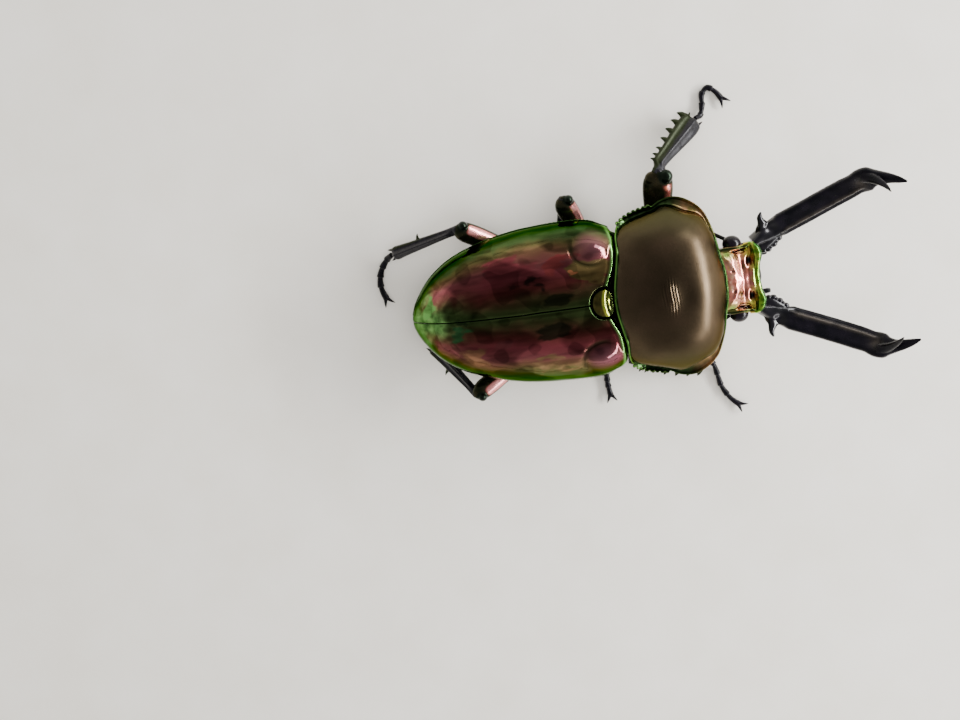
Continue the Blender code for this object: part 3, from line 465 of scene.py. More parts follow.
def normals_of(points, faces):
    """Unit normals at the points."""
    total = np.zeros_like(points)
    for group in by_size(facing_out(points, faces)):
        corners = points[group]
        normal = np.cross(corners[:, 2] - corners[:, 0], corners[:, -1] - corners[:, 1])
        for i in range(group.shape[1]):
            np.add.at(total, group[:, i], normal)
    return total / np.maximum(np.linalg.norm(total, axis=1), 1e-12)[:, None]


def melted(parts, voxel=0.08, relax=2):
    """Shapes fused into one even skin, softened a little where they meet."""
    points, faces = joined([(p, facing_out(p, f)) for p, f in parts])
    mesh = bpy.data.meshes.new("melting")
    mesh.from_pydata(points.tolist(), [], faces)
    work = bpy.data.objects.new("melting", mesh)
    bpy.context.scene.collection.objects.link(work)
    remesh = work.modifiers.new("remesh", "REMESH")
    remesh.mode = "VOXEL"
    remesh.voxel_size = voxel
    remesh.adaptivity = 0
    smooth = work.modifiers.new("smooth", "SMOOTH")
    smooth.factor = 0.5
    smooth.iterations = relax
    graph = bpy.context.evaluated_depsgraph_get()
    done = bpy.data.meshes.new_from_object(work.evaluated_get(graph))
    found = np.empty(len(done.vertices) * 3)
    done.vertices.foreach_get("co", found)
    found_faces = [tuple(p.vertices) for p in done.polygons]
    bpy.data.objects.remove(work)
    bpy.data.meshes.remove(mesh)
    bpy.data.meshes.remove(done)
    return found.reshape(-1, 3), found_faces


def piece(name, shape, material, values=None, replaces=None):
    """A finished piece, riding on the beetle's one body. It replaces the solid of its name."""
    replaces = [name] if replaces is None else replaces
    points, faces = shape
    mesh = bpy.data.meshes.new(name)
    mesh.from_pydata(((points - MIDDLE) * MM).tolist(), [], facing_out(points, faces))
    mesh.materials.append(material)
    mesh.shade_smooth()
    for key, numbers in (values or {}).items():
        layer = mesh.attributes.new(key, "FLOAT", "POINT")
        layer.data.foreach_set("value", np.array(numbers, np.float32))
    made = bpy.data.objects.new(name, mesh)
    bpy.context.scene.collection.objects.link(made)
    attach(made, "root")
    if replaces:
        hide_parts(*replaces)


def pair(kind, shape, material, values=None):
    """A piece on the left side and its mirror image on the right."""
    points, faces = shape
    for side, word in SIDES:
        piece(f"{kind}_{word}", (mirrored(points, side), faces), material, values)


# Materials

class Field:
    """A node's output that can be used in sums like a number."""

    def __init__(self, nodes, socket):
        self.nodes, self.socket = nodes, socket

    def __add__(self, other):
        return self.nodes.math("ADD", self, other)

    def __sub__(self, other):
        return self.nodes.math("SUBTRACT", self, other)

    def __rsub__(self, other):
        return self.nodes.math("SUBTRACT", other, self)

    def __mul__(self, other):
        return self.nodes.math("MULTIPLY", self, other)


class Nodes:
    """Adds nodes to a tree. Their sizes and depths are in millimetres."""

    def __init__(self, tree, coordinates):
        self.tree = tree
        self.where = self.node("TexCoord", coordinates)

    def node(self, kind, output=0, inputs=(), **settings):
        node = self.tree.nodes.new("ShaderNode" + kind)
        for key, value in settings.items():
            setattr(node, key, value)
        for key, value in dict(inputs).items():
            self.put(node.inputs[key], value)
        return Field(self, node.outputs[output])

    def put(self, socket, value):
        if isinstance(value, Field):
            self.tree.links.new(value.socket, socket)
        else:
            socket.default_value = (*value, 1.0) if socket.type == "RGBA" else value

    def math(self, operation, a, b):
        return self.node("Math", 0, {0: a, 1: b}, operation=operation)

    def vector(self, operation, a, b):
        output = "Value" if operation == "DISTANCE" else "Vector"
        return self.node("VectorMath", output, {0: a, 1: b}, operation=operation)

    def mix(self, share, a, b, blend="MIX"):
        return self.node("Mix", 2, {0: share, 6: a, 7: b}, data_type="RGBA", blend_type=blend)

    def noise(self, size, detail=3.0, stretch=None, distortion=0.0, output="Fac"):
        """Noise with lumps of about this size."""
        place = self.where
        if stretch:
            place = self.node("Mapping", 0, {"Vector": self.where, "Scale": stretch})
        return self.node("TexNoise", output, {
            "Vector": place, "Scale": 1.0 / (size * MM), "Detail": detail, "Distortion": distortion})

    def cells(self, size):
        return self.node("TexVoronoi", "Distance", {"Vector": self.where, "Scale": 1.0 / (size * MM)})

    def value(self, name):
        return self.node("Attribute", "Fac", attribute_name=name)

    def ramp(self, share, *stops):
        """Colours along a share. A stop is its place, red, green and blue."""
        field = self.node("ValToRGB", "Color", {0: share})
        elements = field.socket.node.color_ramp.elements
        while len(elements) < len(stops):
            elements.new(0.5)
        for element, (at, *colour) in zip(elements, stops):
            element.position = at
            element.color = (*colour, 1.0)
        return field

    def remap(self, value, low, high, to_low=0.0, to_high=1.0, kind="SMOOTHSTEP"):
        return self.node("MapRange", "Result", {
            "Value": value, "From Min": low, "From Max": high, "To Min": to_low, "To Max": to_high,
        }, interpolation_type=kind)

    def bump(self, height, strength, depth, under=None):
        inputs = {"Height": height, "Strength": strength, "Distance": depth * MM}
        if under:
            inputs["Normal"] = under
        return self.node("Bump", "Normal", inputs)


class Paint(Nodes):
    """One material. Its colours are laid one over another."""

    def __init__(self, name, **sockets):
        self.material = bpy.data.materials.new(name)
        self.material.use_nodes = True
        super().__init__(self.material.node_tree, "Object")
        for key, value in sockets.items():
            self.set(key.replace("_", " "), value)

    def set(self, name, value):
        self.put(self.tree.nodes["Principled BSDF"].inputs[name], value)

    def over(self, share, colour):
        """Lays a colour over the others, by a field or by the mesh's values of this name."""
        self.hue = self.mix(self.value(share) if isinstance(share, str) else share, self.hue, colour)

    def near(self, where, centre, inside, outside, stretch=(1, 1, 1)):
        """1 closer to a point of the beetle than inside, and 0 farther from it than outside."""
        middle = (np.array(centre) - MIDDLE) * MM * stretch
        away = self.vector("DISTANCE", where, tuple(middle))
        return self.remap(away, inside * MM, outside * MM, 1.0, 0.0)

    def gloss(self, size, detail, low, high):
        """Noise between two values, such as the roughness of a worn shell."""
        return self.remap(self.noise(size, detail), 0.3, 0.7, low, high)

    def relief(self, grain, pits):
        """Grain of a size, strength and depth, with pits of a size, width, strength and depth."""
        size, width, strength, depth = pits
        flat = self.remap(self.cells(size), 0.0, width)
        return self.bump(flat, strength, depth, self.bump(self.noise(grain[0]), *grain[1:]))

    def finish(self, rough, normal):
        self.set("Base Color", self.hue)
        self.set("Roughness", rough)
        self.set("Normal", normal)
        return self.material


# Patches of painted reflection over the wing cases' bands of colour, dark pools, coloured streaks and
# one small orange glint: centre, radius and colour.
WING_REFLECTIONS = [
    ((13.5, 5.6, 13.6), 2.6, (0.290, 0.060, 0.075)), ((19.9, 5.4, 14.0), 1.8, (0.300, 0.060, 0.060)),
    ((16.2, 4.0, 14.2), 1.6, (0.030, 0.020, 0.016)), ((20.2, 1.5, 14.6), 2.2, (0.018, 0.022, 0.010)),
    ((24.2, 4.2, 14.0), 1.9, (0.220, 0.170, 0.060)), ((22.9, 4.1, 14.2), 0.7, (0.800, 0.300, 0.140)),
    ((4.2, 2.0, 10.9), 1.9, (0.110, 0.290, 0.075)), ((9.0, 0.8, 12.8), 1.8, (0.024, 0.044, 0.018)),
    ((7.4, -1.6, 12.8), 1.9, (0.045, 0.170, 0.060)), ((18.6, -1.9, 14.6), 2.3, (0.020, 0.022, 0.012)),
    ((24.9, -7.2, 12.4), 1.9, (0.400, 0.075, 0.140)), ((9.0, -4.9, 12.2), 2.2, (0.360, 0.180, 0.100)),
    ((18.2, -6.4, 12.4), 2.3, (0.260, 0.160, 0.080)), ((13.2, -3.8, 13.2), 1.8, (0.220, 0.060, 0.065)),
]
REFLECTION_STRETCH = (0.55, 1.0, 1.0)
REFLECTION_PUSH = (9 * MM, 5 * MM, 5 * MM)


def elytra_paint():
    """Crimson and mauve that runs to olive and green at the edges, with patches and smooth dark pools
    of painted reflection.
    """
    # The steep outer sides gleam green, not white.
    paint = Paint("rainbow_shell", Metallic=1.0, Specular_Tint=(0.44, 0.55, 0.38))
    across = paint.value("across")
    cloud = paint.noise(5.0, 2.0, (0.45, 1, 1)) - 0.5
    fine = paint.noise(1.2)
    paint.hue = paint.ramp(
        across + cloud * 0.30 + (fine - 0.5) * 0.08,
        (0.0, 0.040, 0.070, 0.022), (0.10, 0.060, 0.085, 0.028), (0.20, 0.100, 0.065, 0.032),
        (0.30, 0.200, 0.050, 0.045), (0.45, 0.280, 0.060, 0.075), (0.60, 0.260, 0.080, 0.085),
        (0.70, 0.220, 0.110, 0.065), (0.78, 0.120, 0.100, 0.038), (0.86, 0.055, 0.090, 0.032),
        (0.94, 0.024, 0.060, 0.018), (1.0, 0.010, 0.030, 0.008))
    green = paint.ramp(fine, (0.35, 0.040, 0.100, 0.026), (0.65, 0.140, 0.300, 0.090))
    along = paint.value("along") + cloud * 0.26
    tip = paint.remap(along, 0.12, 0.40, 1.0, 0.0)
    paint.over(tip * paint.remap(across, 0.10, 0.60, 1.0, 0.0), green)
    paint.over(paint.remap(along, 0.02, 0.12, 1.0, 0.0), green)
    # The painted reflection patches have uneven outlines, and are longer than they are wide.
    push = paint.vector("SUBTRACT", paint.noise(2.2, 3.0, (0.5, 1, 1), 0.0, "Color"), (0.5, 0.5, 0.5))
    where = paint.vector("ADD", paint.vector("MULTIPLY", push, REFLECTION_PUSH), paint.where)
    where = paint.vector("MULTIPLY", where, REFLECTION_STRETCH)
    for centre, radius, colour in WING_REFLECTIONS:
        spot = paint.near(where, centre, 0.46 * radius, 0.70 * radius, REFLECTION_STRETCH)
        paint.over(spot * 0.9, colour)
    # Long smooth pools of painted dark reflection, where the shell looks darker.
    shade = paint.remap(paint.noise(4.6, 0.0, (0.55, 1, 1)), 0.44, 0.52, 0.46, 1.0)
    shade *= paint.remap(paint.noise(2.2, 0.0, (0.8, 0.9, 1)), 0.39, 0.45, 0.62, 1.0)
    shade *= paint.remap(paint.noise(1.0, 1.0, (0.2, 1.3, 1)), 0.3, 0.7, 0.72, 1.20)
    grey = paint.ramp(shade, (0.0, 0, 0, 0), (1.0, 1, 1, 1))
    paint.hue = paint.mix(1.0, paint.hue, grey, "MULTIPLY")
    paint.over(paint.value("callus") * 0.8, (0.20, 0.075, 0.095))
    # Painted shade in the edge groove, the callus crease and on the base's front slope, painted shadow
    # on the left margin near the tip, and dark seams along the suture and round the shield.
    paint.over("dark", (0.008, 0.022, 0.008))
    # Green rims, brightened as a painted highlight, with a painted pale reflection line on the left
    # margin.
    paint.over("rim", (0.15, 0.36, 0.09))
    dents = paint.bump(paint.noise(1.8, 2.0, distortion=0.8), 0.25, 0.12)
    pits = paint.remap(paint.cells(0.55), 0.0, 0.16, 1.0, 0.0) * paint.remap(across, 0.72, 0.95)
    rough = paint.remap(paint.noise(2.4, 4.0), 0.3, 0.75, 0.07, 0.15)
    return paint.finish(rough, paint.bump(1.0 - pits, 0.30, 0.04, dents))


def pronotum_paint():
    """Silky dark bronze with mirror-like dark green and coppery edges, the coppery front corners
    brightened as painted reflection.
    """
    paint = Paint("bronze_shell", Metallic=1.0, Specular_Tint=(0.55, 0.51, 0.43))
    paint.hue = paint.ramp(
        paint.noise(4.5, 4.0),
        (0.30, 0.050, 0.036, 0.022), (0.5, 0.064, 0.046, 0.028), (0.70, 0.078, 0.053, 0.034))
    paint.over(paint.remap(paint.value("side"), 0.50, 0.95), (0.056, 0.054, 0.026))
    green = paint.ramp(paint.noise(1.1), (0.4, 0.008, 0.020, 0.006), (0.65, 0.040, 0.075, 0.026))
    # The coppery front corners, brightened as a painted reflection.
    coppery = paint.ramp(
        paint.noise(1.4, 2.0), (0.35, 0.22, 0.17, 0.06), (0.55, 0.62, 0.34, 0.18),
        (0.7, 0.72, 0.52, 0.20))
    margin = paint.remap(paint.value("flange"), 0.35, 0.80)
    paint.over(margin, paint.mix(paint.value("lobe"), green, coppery))
    paint.over("rim", (0.11, 0.27, 0.05))
    satin = paint.remap(paint.noise(0.22), 0.2, 0.8, 0.27, 0.34) - paint.value("oval") * 0.10
    rough = satin * (1.0 - margin) + margin * 0.12
    return paint.finish(rough, paint.relief((0.22, 0.12, 0.02), (0.42, 0.10, 0.22, 0.02)))


def scutellum_paint():
    """Olive brown with a bright yellow-green rolled front and a dark rear edge."""
    paint = Paint("green_shell", Metallic=1.0)
    paint.hue = paint.ramp(
        paint.noise(0.9), (0.3, 0.055, 0.050, 0.018), (0.55, 0.120, 0.105, 0.030),
        (0.75, 0.160, 0.110, 0.040))
    paint.over("edge", (0.020, 0.040, 0.010))
    paint.over("roll", paint.ramp(
        paint.noise(0.6, 2.0), (0.35, 0.32, 0.52, 0.05), (0.65, 0.72, 0.70, 0.10)))
    return paint.finish(
        paint.gloss(0.7, 3.0, 0.10, 0.20), paint.bump(paint.noise(0.5), 0.2, 0.05))


def head_paint():
    """Pink and copper with gold streaks, dark red hollows, black pits, a painted highlight along the
    rear, and a green front with painted yellow highlights and a front face in painted shade.
    """
    paint = Paint("copper_shell", Metallic=1.0)
    paint.hue = paint.ramp(
        paint.noise(1.0), (0.30, 0.34, 0.10, 0.05), (0.46, 0.70, 0.24, 0.18),
        (0.58, 0.72, 0.30, 0.24), (0.70, 0.60, 0.36, 0.10), (0.80, 0.36, 0.38, 0.08))
    paint.over("gold", paint.ramp(
        paint.noise(0.7, 2.0), (0.35, 0.70, 0.40, 0.08), (0.65, 0.62, 0.60, 0.08)))
    paint.over("cross", (0.60, 0.20, 0.17))
    # A painted pinkish highlight along the rear of the plate, broken up by noise.
    broken = paint.remap(paint.noise(0.8, 2.0), 0.40, 0.58)
    paint.over(paint.value("painted_rear_highlight") * broken, (0.90, 0.52, 0.36))
    paint.over("red", (0.16, 0.040, 0.026))
    for side, _ in SIDES:
        paint.over(paint.near(paint.where, (41.4, side * 3.4, 10.2), 0.0, 1.6), (0.20, 0.30, 0.06))
    paint.over("brow", (0.020, 0.050, 0.015))
    # The green ridge: its yellow flecks are painted highlights, and its forward face is darkened as
    # painted shade.
    front = paint.ramp(
        paint.noise(0.7, 2.0), (0.32, 0.05, 0.20, 0.02), (0.5, 0.22, 0.42, 0.04),
        (0.66, 0.62, 0.66, 0.12))
    paint.over("front", paint.mix(paint.value("fore"), front, (0.020, 0.075, 0.014)))
    paint.over("pit", (0.018, 0.026, 0.030))
    paint.over("under", (0.014, 0.022, 0.012))
    return paint.finish(
        paint.gloss(0.5, 3.0, 0.12, 0.22), paint.relief((0.55, 0.30, 0.08), (0.35, 0.12, 0.25, 0.03)))


def horn_paint(name, rough=(0.24, 0.36), painted_sheen=False):
    """Black horn with a faint sheen and fine pits, and if asked a painted brown sheen on its keels and
    near its tip.
    """
    paint = Paint(name, IOR=1.45, Specular_IOR_Level=0.25)
    patchy = paint.remap(paint.noise(1.7), 0.35, 0.7)
    paint.hue = paint.mix(patchy, (0.0015, 0.0015, 0.0028), (0.005, 0.004, 0.007))
    sheen = paint.gloss(0.9, 4.0, *rough)
    if painted_sheen:
        # A painted brown sheen along the keel and the hollow near the tip, broken up by noise.
        sheen_patches = paint.remap(paint.noise(0.8, 3.0, (0.4, 1, 1)), 0.30, 0.55, 0.35, 1.0)
        paint.over(paint.value("painted_sheen") * sheen_patches, (0.048, 0.040, 0.034))
        root = paint.value("gloss")
        sheen -= root * 0.08
        paint.set("Specular IOR Level", paint.remap(root, 0.0, 1.0, 0.22, 0.50))
    paint.set("Metallic", paint.gloss(2.3, 2.0, 0.0, 0.10))
    return paint.finish(sheen, paint.relief((0.35, 0.15, 0.03), (0.30, 0.10, 0.25, 0.02)))


def shin_paint():
    """Black horn that turns olive green towards the outer edge."""
    paint = Paint("shin_horn", IOR=1.5, Specular_IOR_Level=0.25)
    outer = paint.remap(paint.value("outer") + (paint.noise(1.0) - 0.5) * 0.5, 0.35, 0.75)
    patchy = paint.remap(paint.noise(1.7), 0.35, 0.7)
    paint.hue = paint.mix(patchy, (0.003, 0.0027, 0.005), (0.008, 0.007, 0.011))
    paint.over(outer, (0.014, 0.019, 0.006))
    paint.set("Metallic", paint.remap(outer, 0.0, 1.0, 0.05, 0.5))
    return paint.finish(
        paint.gloss(0.9, 4.0, 0.22, 0.34), paint.relief((0.35, 0.18, 0.03), (0.40, 0.12, 0.35, 0.03)))


def femur_paint():
    """Green-brown shell with a painted pink highlight on its upper side, and a knee knob darkened as
    painted shade.
    """
    paint = Paint("copper_black_shell", Metallic=0.9)
    paint.hue = paint.ramp(paint.noise(1.6), (0.35, 0.012, 0.018, 0.008), (0.7, 0.050, 0.040, 0.020))
    # The painted pink highlight, with a ragged edge.
    painted_highlight = paint.value("painted_highlight") + (paint.noise(1.2, 2.0) - 0.5) * 0.18
    paint.over(paint.remap(painted_highlight, 0.10, 0.50), paint.ramp(
        painted_highlight, (0.15, 0.06, 0.03, 0.02), (0.40, 0.30, 0.08, 0.07), (0.75, 0.64, 0.26, 0.25)))
    # The knee knob, darkened as painted shade.
    paint.over("knob", (0.010, 0.016, 0.010))
    return paint.finish(
        paint.gloss(0.8, 4.0, 0.18, 0.30), paint.relief((0.5, 0.2, 0.04), (0.45, 0.12, 0.3, 0.03)))


def eye_paint():
    paint = Paint("eye", IOR=1.55, Specular_IOR_Level=0.22)
    paint.hue = paint.ramp(paint.noise(0.9), (0.3, 0.0015, 0.001, 0.002), (0.7, 0.006, 0.003, 0.007))
    facets = paint.remap(paint.cells(0.11), 0.0, 0.6, 1.0, 0.0)
    return paint.finish(paint.gloss(0.5, 3.0, 0.14, 0.24), paint.bump(facets, 0.25, 0.02))


def belly_paint():
    paint = Paint("belly_shell", Metallic=0.8)
    paint.hue = paint.ramp(
        paint.noise(3.0), (0.3, 0.014, 0.030, 0.010), (0.55, 0.030, 0.062, 0.018),
        (0.8, 0.085, 0.060, 0.022))
    return paint.finish(
        paint.gloss(0.9, 4.0, 0.20, 0.36), paint.relief((0.8, 0.25, 0.05), (0.5, 0.15, 0.4, 0.04)))


# Trunk

def dome_foot(edge, pole):
    """The foot of the dome and the width of the flat margin outside it."""
    ahead, across = edge[:, 0] - PRONOTUM_REAR, np.abs(edge[:, 1])
    corner = bell(ahead - 10.4, 2.3) * step_up(across, 6.6, 7.6)
    side = bell(ahead - 4.3, 3.0) * step_up(across, 7.6, 8.6)
    width = 0.25 + 1.15 * corner + 0.3 * side
    inward = pole[:2] - edge[:, :2]
    inward /= np.linalg.norm(inward, axis=1)[:, None]
    foot = edge.copy()
    foot[:, :2] += inward * width[:, None]
    foot[:, 2] += 0.15 + 0.15 * corner
    return foot, width


def softened(ring, width):
    """A closed ring without its short waves. The wider, the closer it is to an ellipse."""
    waves = np.fft.rfft(ring, axis=0)
    order = np.maximum(np.arange(len(waves)) - 1, 0)
    return np.fft.irfft(waves * bell(order * width, 1.0)[:, None], len(ring), axis=0)


def dome_ring(foot, pole, reach):
    """One ring of the dome: rounded down to its low sides, gently sloped to its high ends."""
    foot = softened(foot, 0.8 * (1 - reach) ** 0.6)
    steep = (1 - reach**2.2) ** (1 / 2.2)
    gentle = 1 - reach**2.8
    share = step_up(foot[:, 2], 9.4, 13.0)
    ring = pole + (foot - pole) * reach
    ring[:, 2] = foot[:, 2] + (pole[2] - foot[:, 2]) * (steep + (gentle - steep) * share)
    return ring


def keel_ring(edge, pole, angle):
    reach = math.cos(angle) ** 0.8
    ring = pole + (edge - pole) * reach
    ring[:, 2] = edge[:, 2] + (pole[2] - edge[:, 2]) * math.sin(angle) ** 0.8
    return ring


def pronotum():
    half = smooth_line([(PRONOTUM_REAR + x, y, z) for x, y, z in PRONOTUM_EDGE], 331)
    edge = closed(half)
    top = np.array([PRONOTUM_MIDDLE, 0, PRONOTUM_TOP])
    bottom = np.array([PRONOTUM_MIDDLE, 0, STERNUM_BOTTOM])
    outward = np.cross(np.gradient(edge, axis=0), (0, 0, 1))
    outward /= np.linalg.norm(outward, axis=1)[:, None]
    outward *= np.sign((outward * (edge - (PRONOTUM_MIDDLE, 0, 9))).sum(axis=1))[:, None]
    foot, width = dome_foot(edge, top)
    ahead, across = edge[:, 0] - PRONOTUM_REAR, np.abs(edge[:, 1])
    run = run_of(half)
    run = np.concatenate([run, run[-2:0:-1]])
    # Round beads along the rear half of each side.
    start = np.interp(FIRST_BEAD, ahead[3:165], run[3:165])
    place = (run - start) / BEAD_LENGTH
    beaded = (place > 0) * (place < BEADS) * (across > 8.4)
    bead = np.sqrt(1 - (2 * (place % 1) - 1) ** 2) * beaded

    # Each row has its ring, how far that is from the edge, and its share of the margin's colour.
    full = np.ones(len(edge))
    rows = []
    for reach in np.sin(np.linspace(0.008, math.pi / 2, 150)):
        ring = dome_ring(foot, top, reach)
        inward = np.linalg.norm((ring - foot)[:, :2], axis=1)
        rows.append((ring, 9.0 * full, 0.8 * bell(inward, 0.10 + 0.30 * (width - 0.25))))
    dome = len(rows)
    for share in np.linspace(0, 1, 15)[1:]:
        ring = foot + (edge - foot) * share
        from_edge = width * (1 - share)
        gutter = 0.16 * width * math.sin(math.pi * share)
        ring[:, 2] += 0.13 * bell(from_edge - 0.08, 0.12) - gutter
        rows.append((ring, from_edge, full))
    upper_rows = len(rows)
    for angle in np.radians((30, 60, 90, 120, 150)):
        ring = edge + outward * 0.10 * math.sin(angle)
        ring[:, 2] += 0.10 * math.cos(angle)
        rows.append((ring, 0.0 * full, full))
    low = edge - (0, 0, 0.12)
    for angle in np.radians(np.linspace(1.5, 84, 28)):
        ring = keel_ring(low, bottom, angle)
        rows.append((ring, np.linalg.norm(ring - low, axis=1), full))
    rings, near_edge, flange = (np.array(column) for column in zip(*rows))
    # The dome runs softly into its margin.
    for _ in range(7):
        middle = rings[dome - 12:dome + 10]
        rings[dome - 12:dome + 10] = 0.5 * middle + 0.25 * (
            rings[dome - 13:dome + 9] + rings[dome - 11:dome + 11])
    swell = np.sqrt(np.maximum(0, 1 - (near_edge / 0.34) ** 2)) * bead
    rings += outward * (0.36 * swell)[..., None]
    row = np.arange(len(rings))[:, None]
    rings[..., 2] += 0.10 * swell * (row < upper_rows)
    # The small wrinkled boss in the middle of the disc, with a shallow hollow before it.
    gx, gy = rings[..., 0] - BOSS_X, rings[..., 1] - BOSS_Y
    boss = spot(gx, gy, (0.0, 0.0), (0.9, 1.9))
    oval = bell(gx**2 + (gy / 2.1) ** 2, 1.0) * (row < dome)
    hollow = spot(gx, gy, (2.0, 0.0), (1.2, 1.8))
    wrinkle = np.sin(gx * 2 * math.pi / WRINKLE_LENGTH + 0.5 * gy + 0.8 * np.sin(gy * 1.7))
    rings[..., 2] += (row < dome) * (0.32 * boss - 0.16 * hollow) + 0.036 * oval * wrinkle
    rear_rim = np.maximum(bell(ahead - 0.6, 1.4), 0.3 * (ahead < 2.5)) * (across < 9.2)
    lip = bell(near_edge - 0.04, 0.09) * (row <= upper_rows)
    fields = {
        "flange": flange, "rim": lip * (0.2 + 0.8 * rear_rim),
        # The coppery front corners, which carry a painted reflection.
        "lobe": bell(ahead - 11.7, 1.35) * (across > 6), "side": np.abs(rings[..., 1]) / 11.5,
        "oval": oval,
    }
    # The skin adds a point at the top and one at the bottom.
    values = {
        key: np.append(np.broadcast_to(field, near_edge.shape), (0, 0))
        for key, field in fields.items()
    }
    piece("pronotum", skin(rings), pronotum_paint(), values, ["prothorax"])


def elytron(name, side, material):
    """One wing case: an arched shell with a callus, a raised edge and a rolled base."""
    share = np.linspace(0, 1, 200)
    parts = np.concatenate([
        share**1.5 * 0.6 + (1 - (1 - share) ** 1.5) * 0.4, np.linspace(0.958, 0.999, 26)])
    length = ELYTRA_BASE - ELYTRA_TIP
    width_at, edge_at, ridge_at, lead = (
        profile(knots) for knots in (ELYTRA_HALF_WIDTHS, ELYTRA_EDGE, ELYTRA_RIDGE, FRONT_MARGIN))
    angles = np.concatenate([
        np.linspace(0, 0.05, 8), np.linspace(0.06, 0.30, 44), np.linspace(0.31, 1.36, 90),
        np.linspace(1.38, math.pi / 2, 40)])
    s, c = np.sin(angles) ** ARCH_POWER, np.cos(angles) ** ARCH_POWER
    on_side = step_up(angles, 0.7, 1.0)
    # The lining has none of the outer side's colours.
    lining = (0, len(angles))

    def arch(x, inset):
        width, low = max(width_at(x) - inset, 0.25), edge_at(x)
        high = max(ridge_at(x) - inset, low + 0.2)
        return width * s, low + (high - low) * c

    rings, fields = [], []
    for part in np.unique(parts):
        x = ELYTRA_TIP + length * part
        y, z = arch(x, 0.0)
        width, low = width_at(x), edge_at(x)
        run = run_of(np.stack([y, z], axis=1))
        to_edge = run[-1] - run
        bead = bell(to_edge - EDGE_RIM, 0.14)
        groove = bell(to_edge - EDGE_GROOVE, 0.15)
        second = bell(to_edge - SECOND_RIDGE, 0.16)
        z = z + on_side * (0.12 * bead - 0.20 * groove + 0.05 * second)
        y = y + on_side * (0.10 * bead - 0.14 * groove + 0.04 * second)
        shoulder = bell(x - SHOULDER, 2.6) * bell(to_edge - 0.1, 0.35)
        y = y + shoulder * 0.09 * max(0.0, math.sin(x * 2 * math.pi / TOOTH_LENGTH))
        z = z - 0.07 * bell(y, 0.10) + 0.035 * bell(y - 0.42, 0.26)
        reach = np.hypot((x - CALLUS_X) / 1.1, y - CALLUS_Y)
        callus = np.maximum(0, 1 - (reach / CALLUS_RADIUS) ** 2) ** 1.4
        inward = 0.7 * (CALLUS_Y - y) + 0.7 * (CALLUS_X - x)
        crease = bell(reach - 2.2, 0.40) * step_up(inward, 0.2, 1.7)
        fold = bell(x - 21.3, 3.6) * bell(y - 5.6 + 0.22 * (24 - x), 0.6)
        z = z + CALLUS_HEIGHT * callus - 0.16 * crease - 0.06 * fold
        # The raised front margin draws back towards the shield.
        margin = ELYTRA_BASE - x - 0.28 - 0.50 * (1 - step_up(y, 1.4, 4.6))
        end_roll = step_up(z, low + 0.4, low + 1.2)
        z = z - 0.16 * np.clip(-margin / 0.28, 0, 1.6) ** 2 * end_roll
        z = z + (0.08 * bell(margin, 0.15) - 0.06 * bell(margin - 0.42, 0.22)) * end_roll
        x_out = x + lead(y) * (x / ELYTRA_BASE) ** 8
        behind = np.minimum(x_out - SCUTELLUM_MIDDLE, 0) / SCUTELLUM_BACK
        from_shield = np.hypot(behind, y / SCUTELLUM_HALF_WIDTH)
        z = z - 0.55 * (1 - step_up(from_shield, 1.0, 1.22))
        outer = np.stack([x_out, np.maximum(y, SUTURE_HALF_GAP), z], axis=1)
        inside = ELYTRA_TIP + ELYTRA_WALL + (length - ELYTRA_WALL) * part
        y_in, z_in = arch(inside, ELYTRA_WALL)
        x_in = inside + lead(y_in) * (inside / ELYTRA_BASE) ** 8
        inner = np.stack([x_in, np.maximum(y_in, SUTURE_HALF_GAP), z_in], axis=1)
        rings.append(np.concatenate([outer, inner[::-1]]))
        # The green rims of the edge and the base, brightened as a painted highlight.
        rim = np.maximum(on_side * bell(to_edge - 0.15, 0.10), bell(margin, 0.17))
        # Painted shade in the edge groove, on the base's front slope and in the callus crease, with
        # dark seams along the suture and round the shield.
        dark = np.maximum.reduce([
            on_side * bell(to_edge - 0.46, 0.19), bell(y, 0.11), 0.8 * step_up(-margin, 0.1, 0.3),
            0.6 * crease, 1 - step_up(np.abs(from_shield - 1.08), 0.06, 0.22)])
        if side > 0:
            # Towards the tip the left margin is darkened as painted shadow, with one pale line of
            # painted reflection.
            rear = 1 - step_up(x, 10.0, 14.5)
            dark = np.maximum(dark, 0.85 * rear * on_side * (1 - step_up(to_edge, 2.2, 3.4)))
            rim = np.maximum(rim, 0.55 * rear * on_side * bell(to_edge - 1.05, 0.10))
        fields.append({
            "across": np.concatenate([outer[:, 1] / width, s[::-1]]),
            "along": np.full(2 * len(angles), (x - ELYTRA_TIP) / length),
            "callus": np.pad(callus, lining),
            "rim": np.pad(rim * step_up(from_shield, 1.1, 1.3), lining),
            "dark": np.pad(dark, lining),
        })
    points, faces = skin(rings, "strip")
    outside = np.tile(np.arange(len(rings[0])) < len(angles), len(rings))
    seed = 11 if side > 0 else 12
    wave = ripple(points, 4.2, seed) * 0.050 + ripple(points, 1.9, seed + 10) * 0.012
    points[:, 2] += wave * outside
    values = {key: np.concatenate([field[key] for field in fields]) for key in fields[0]}
    piece(name, (mirrored(points, side), faces), material, values)


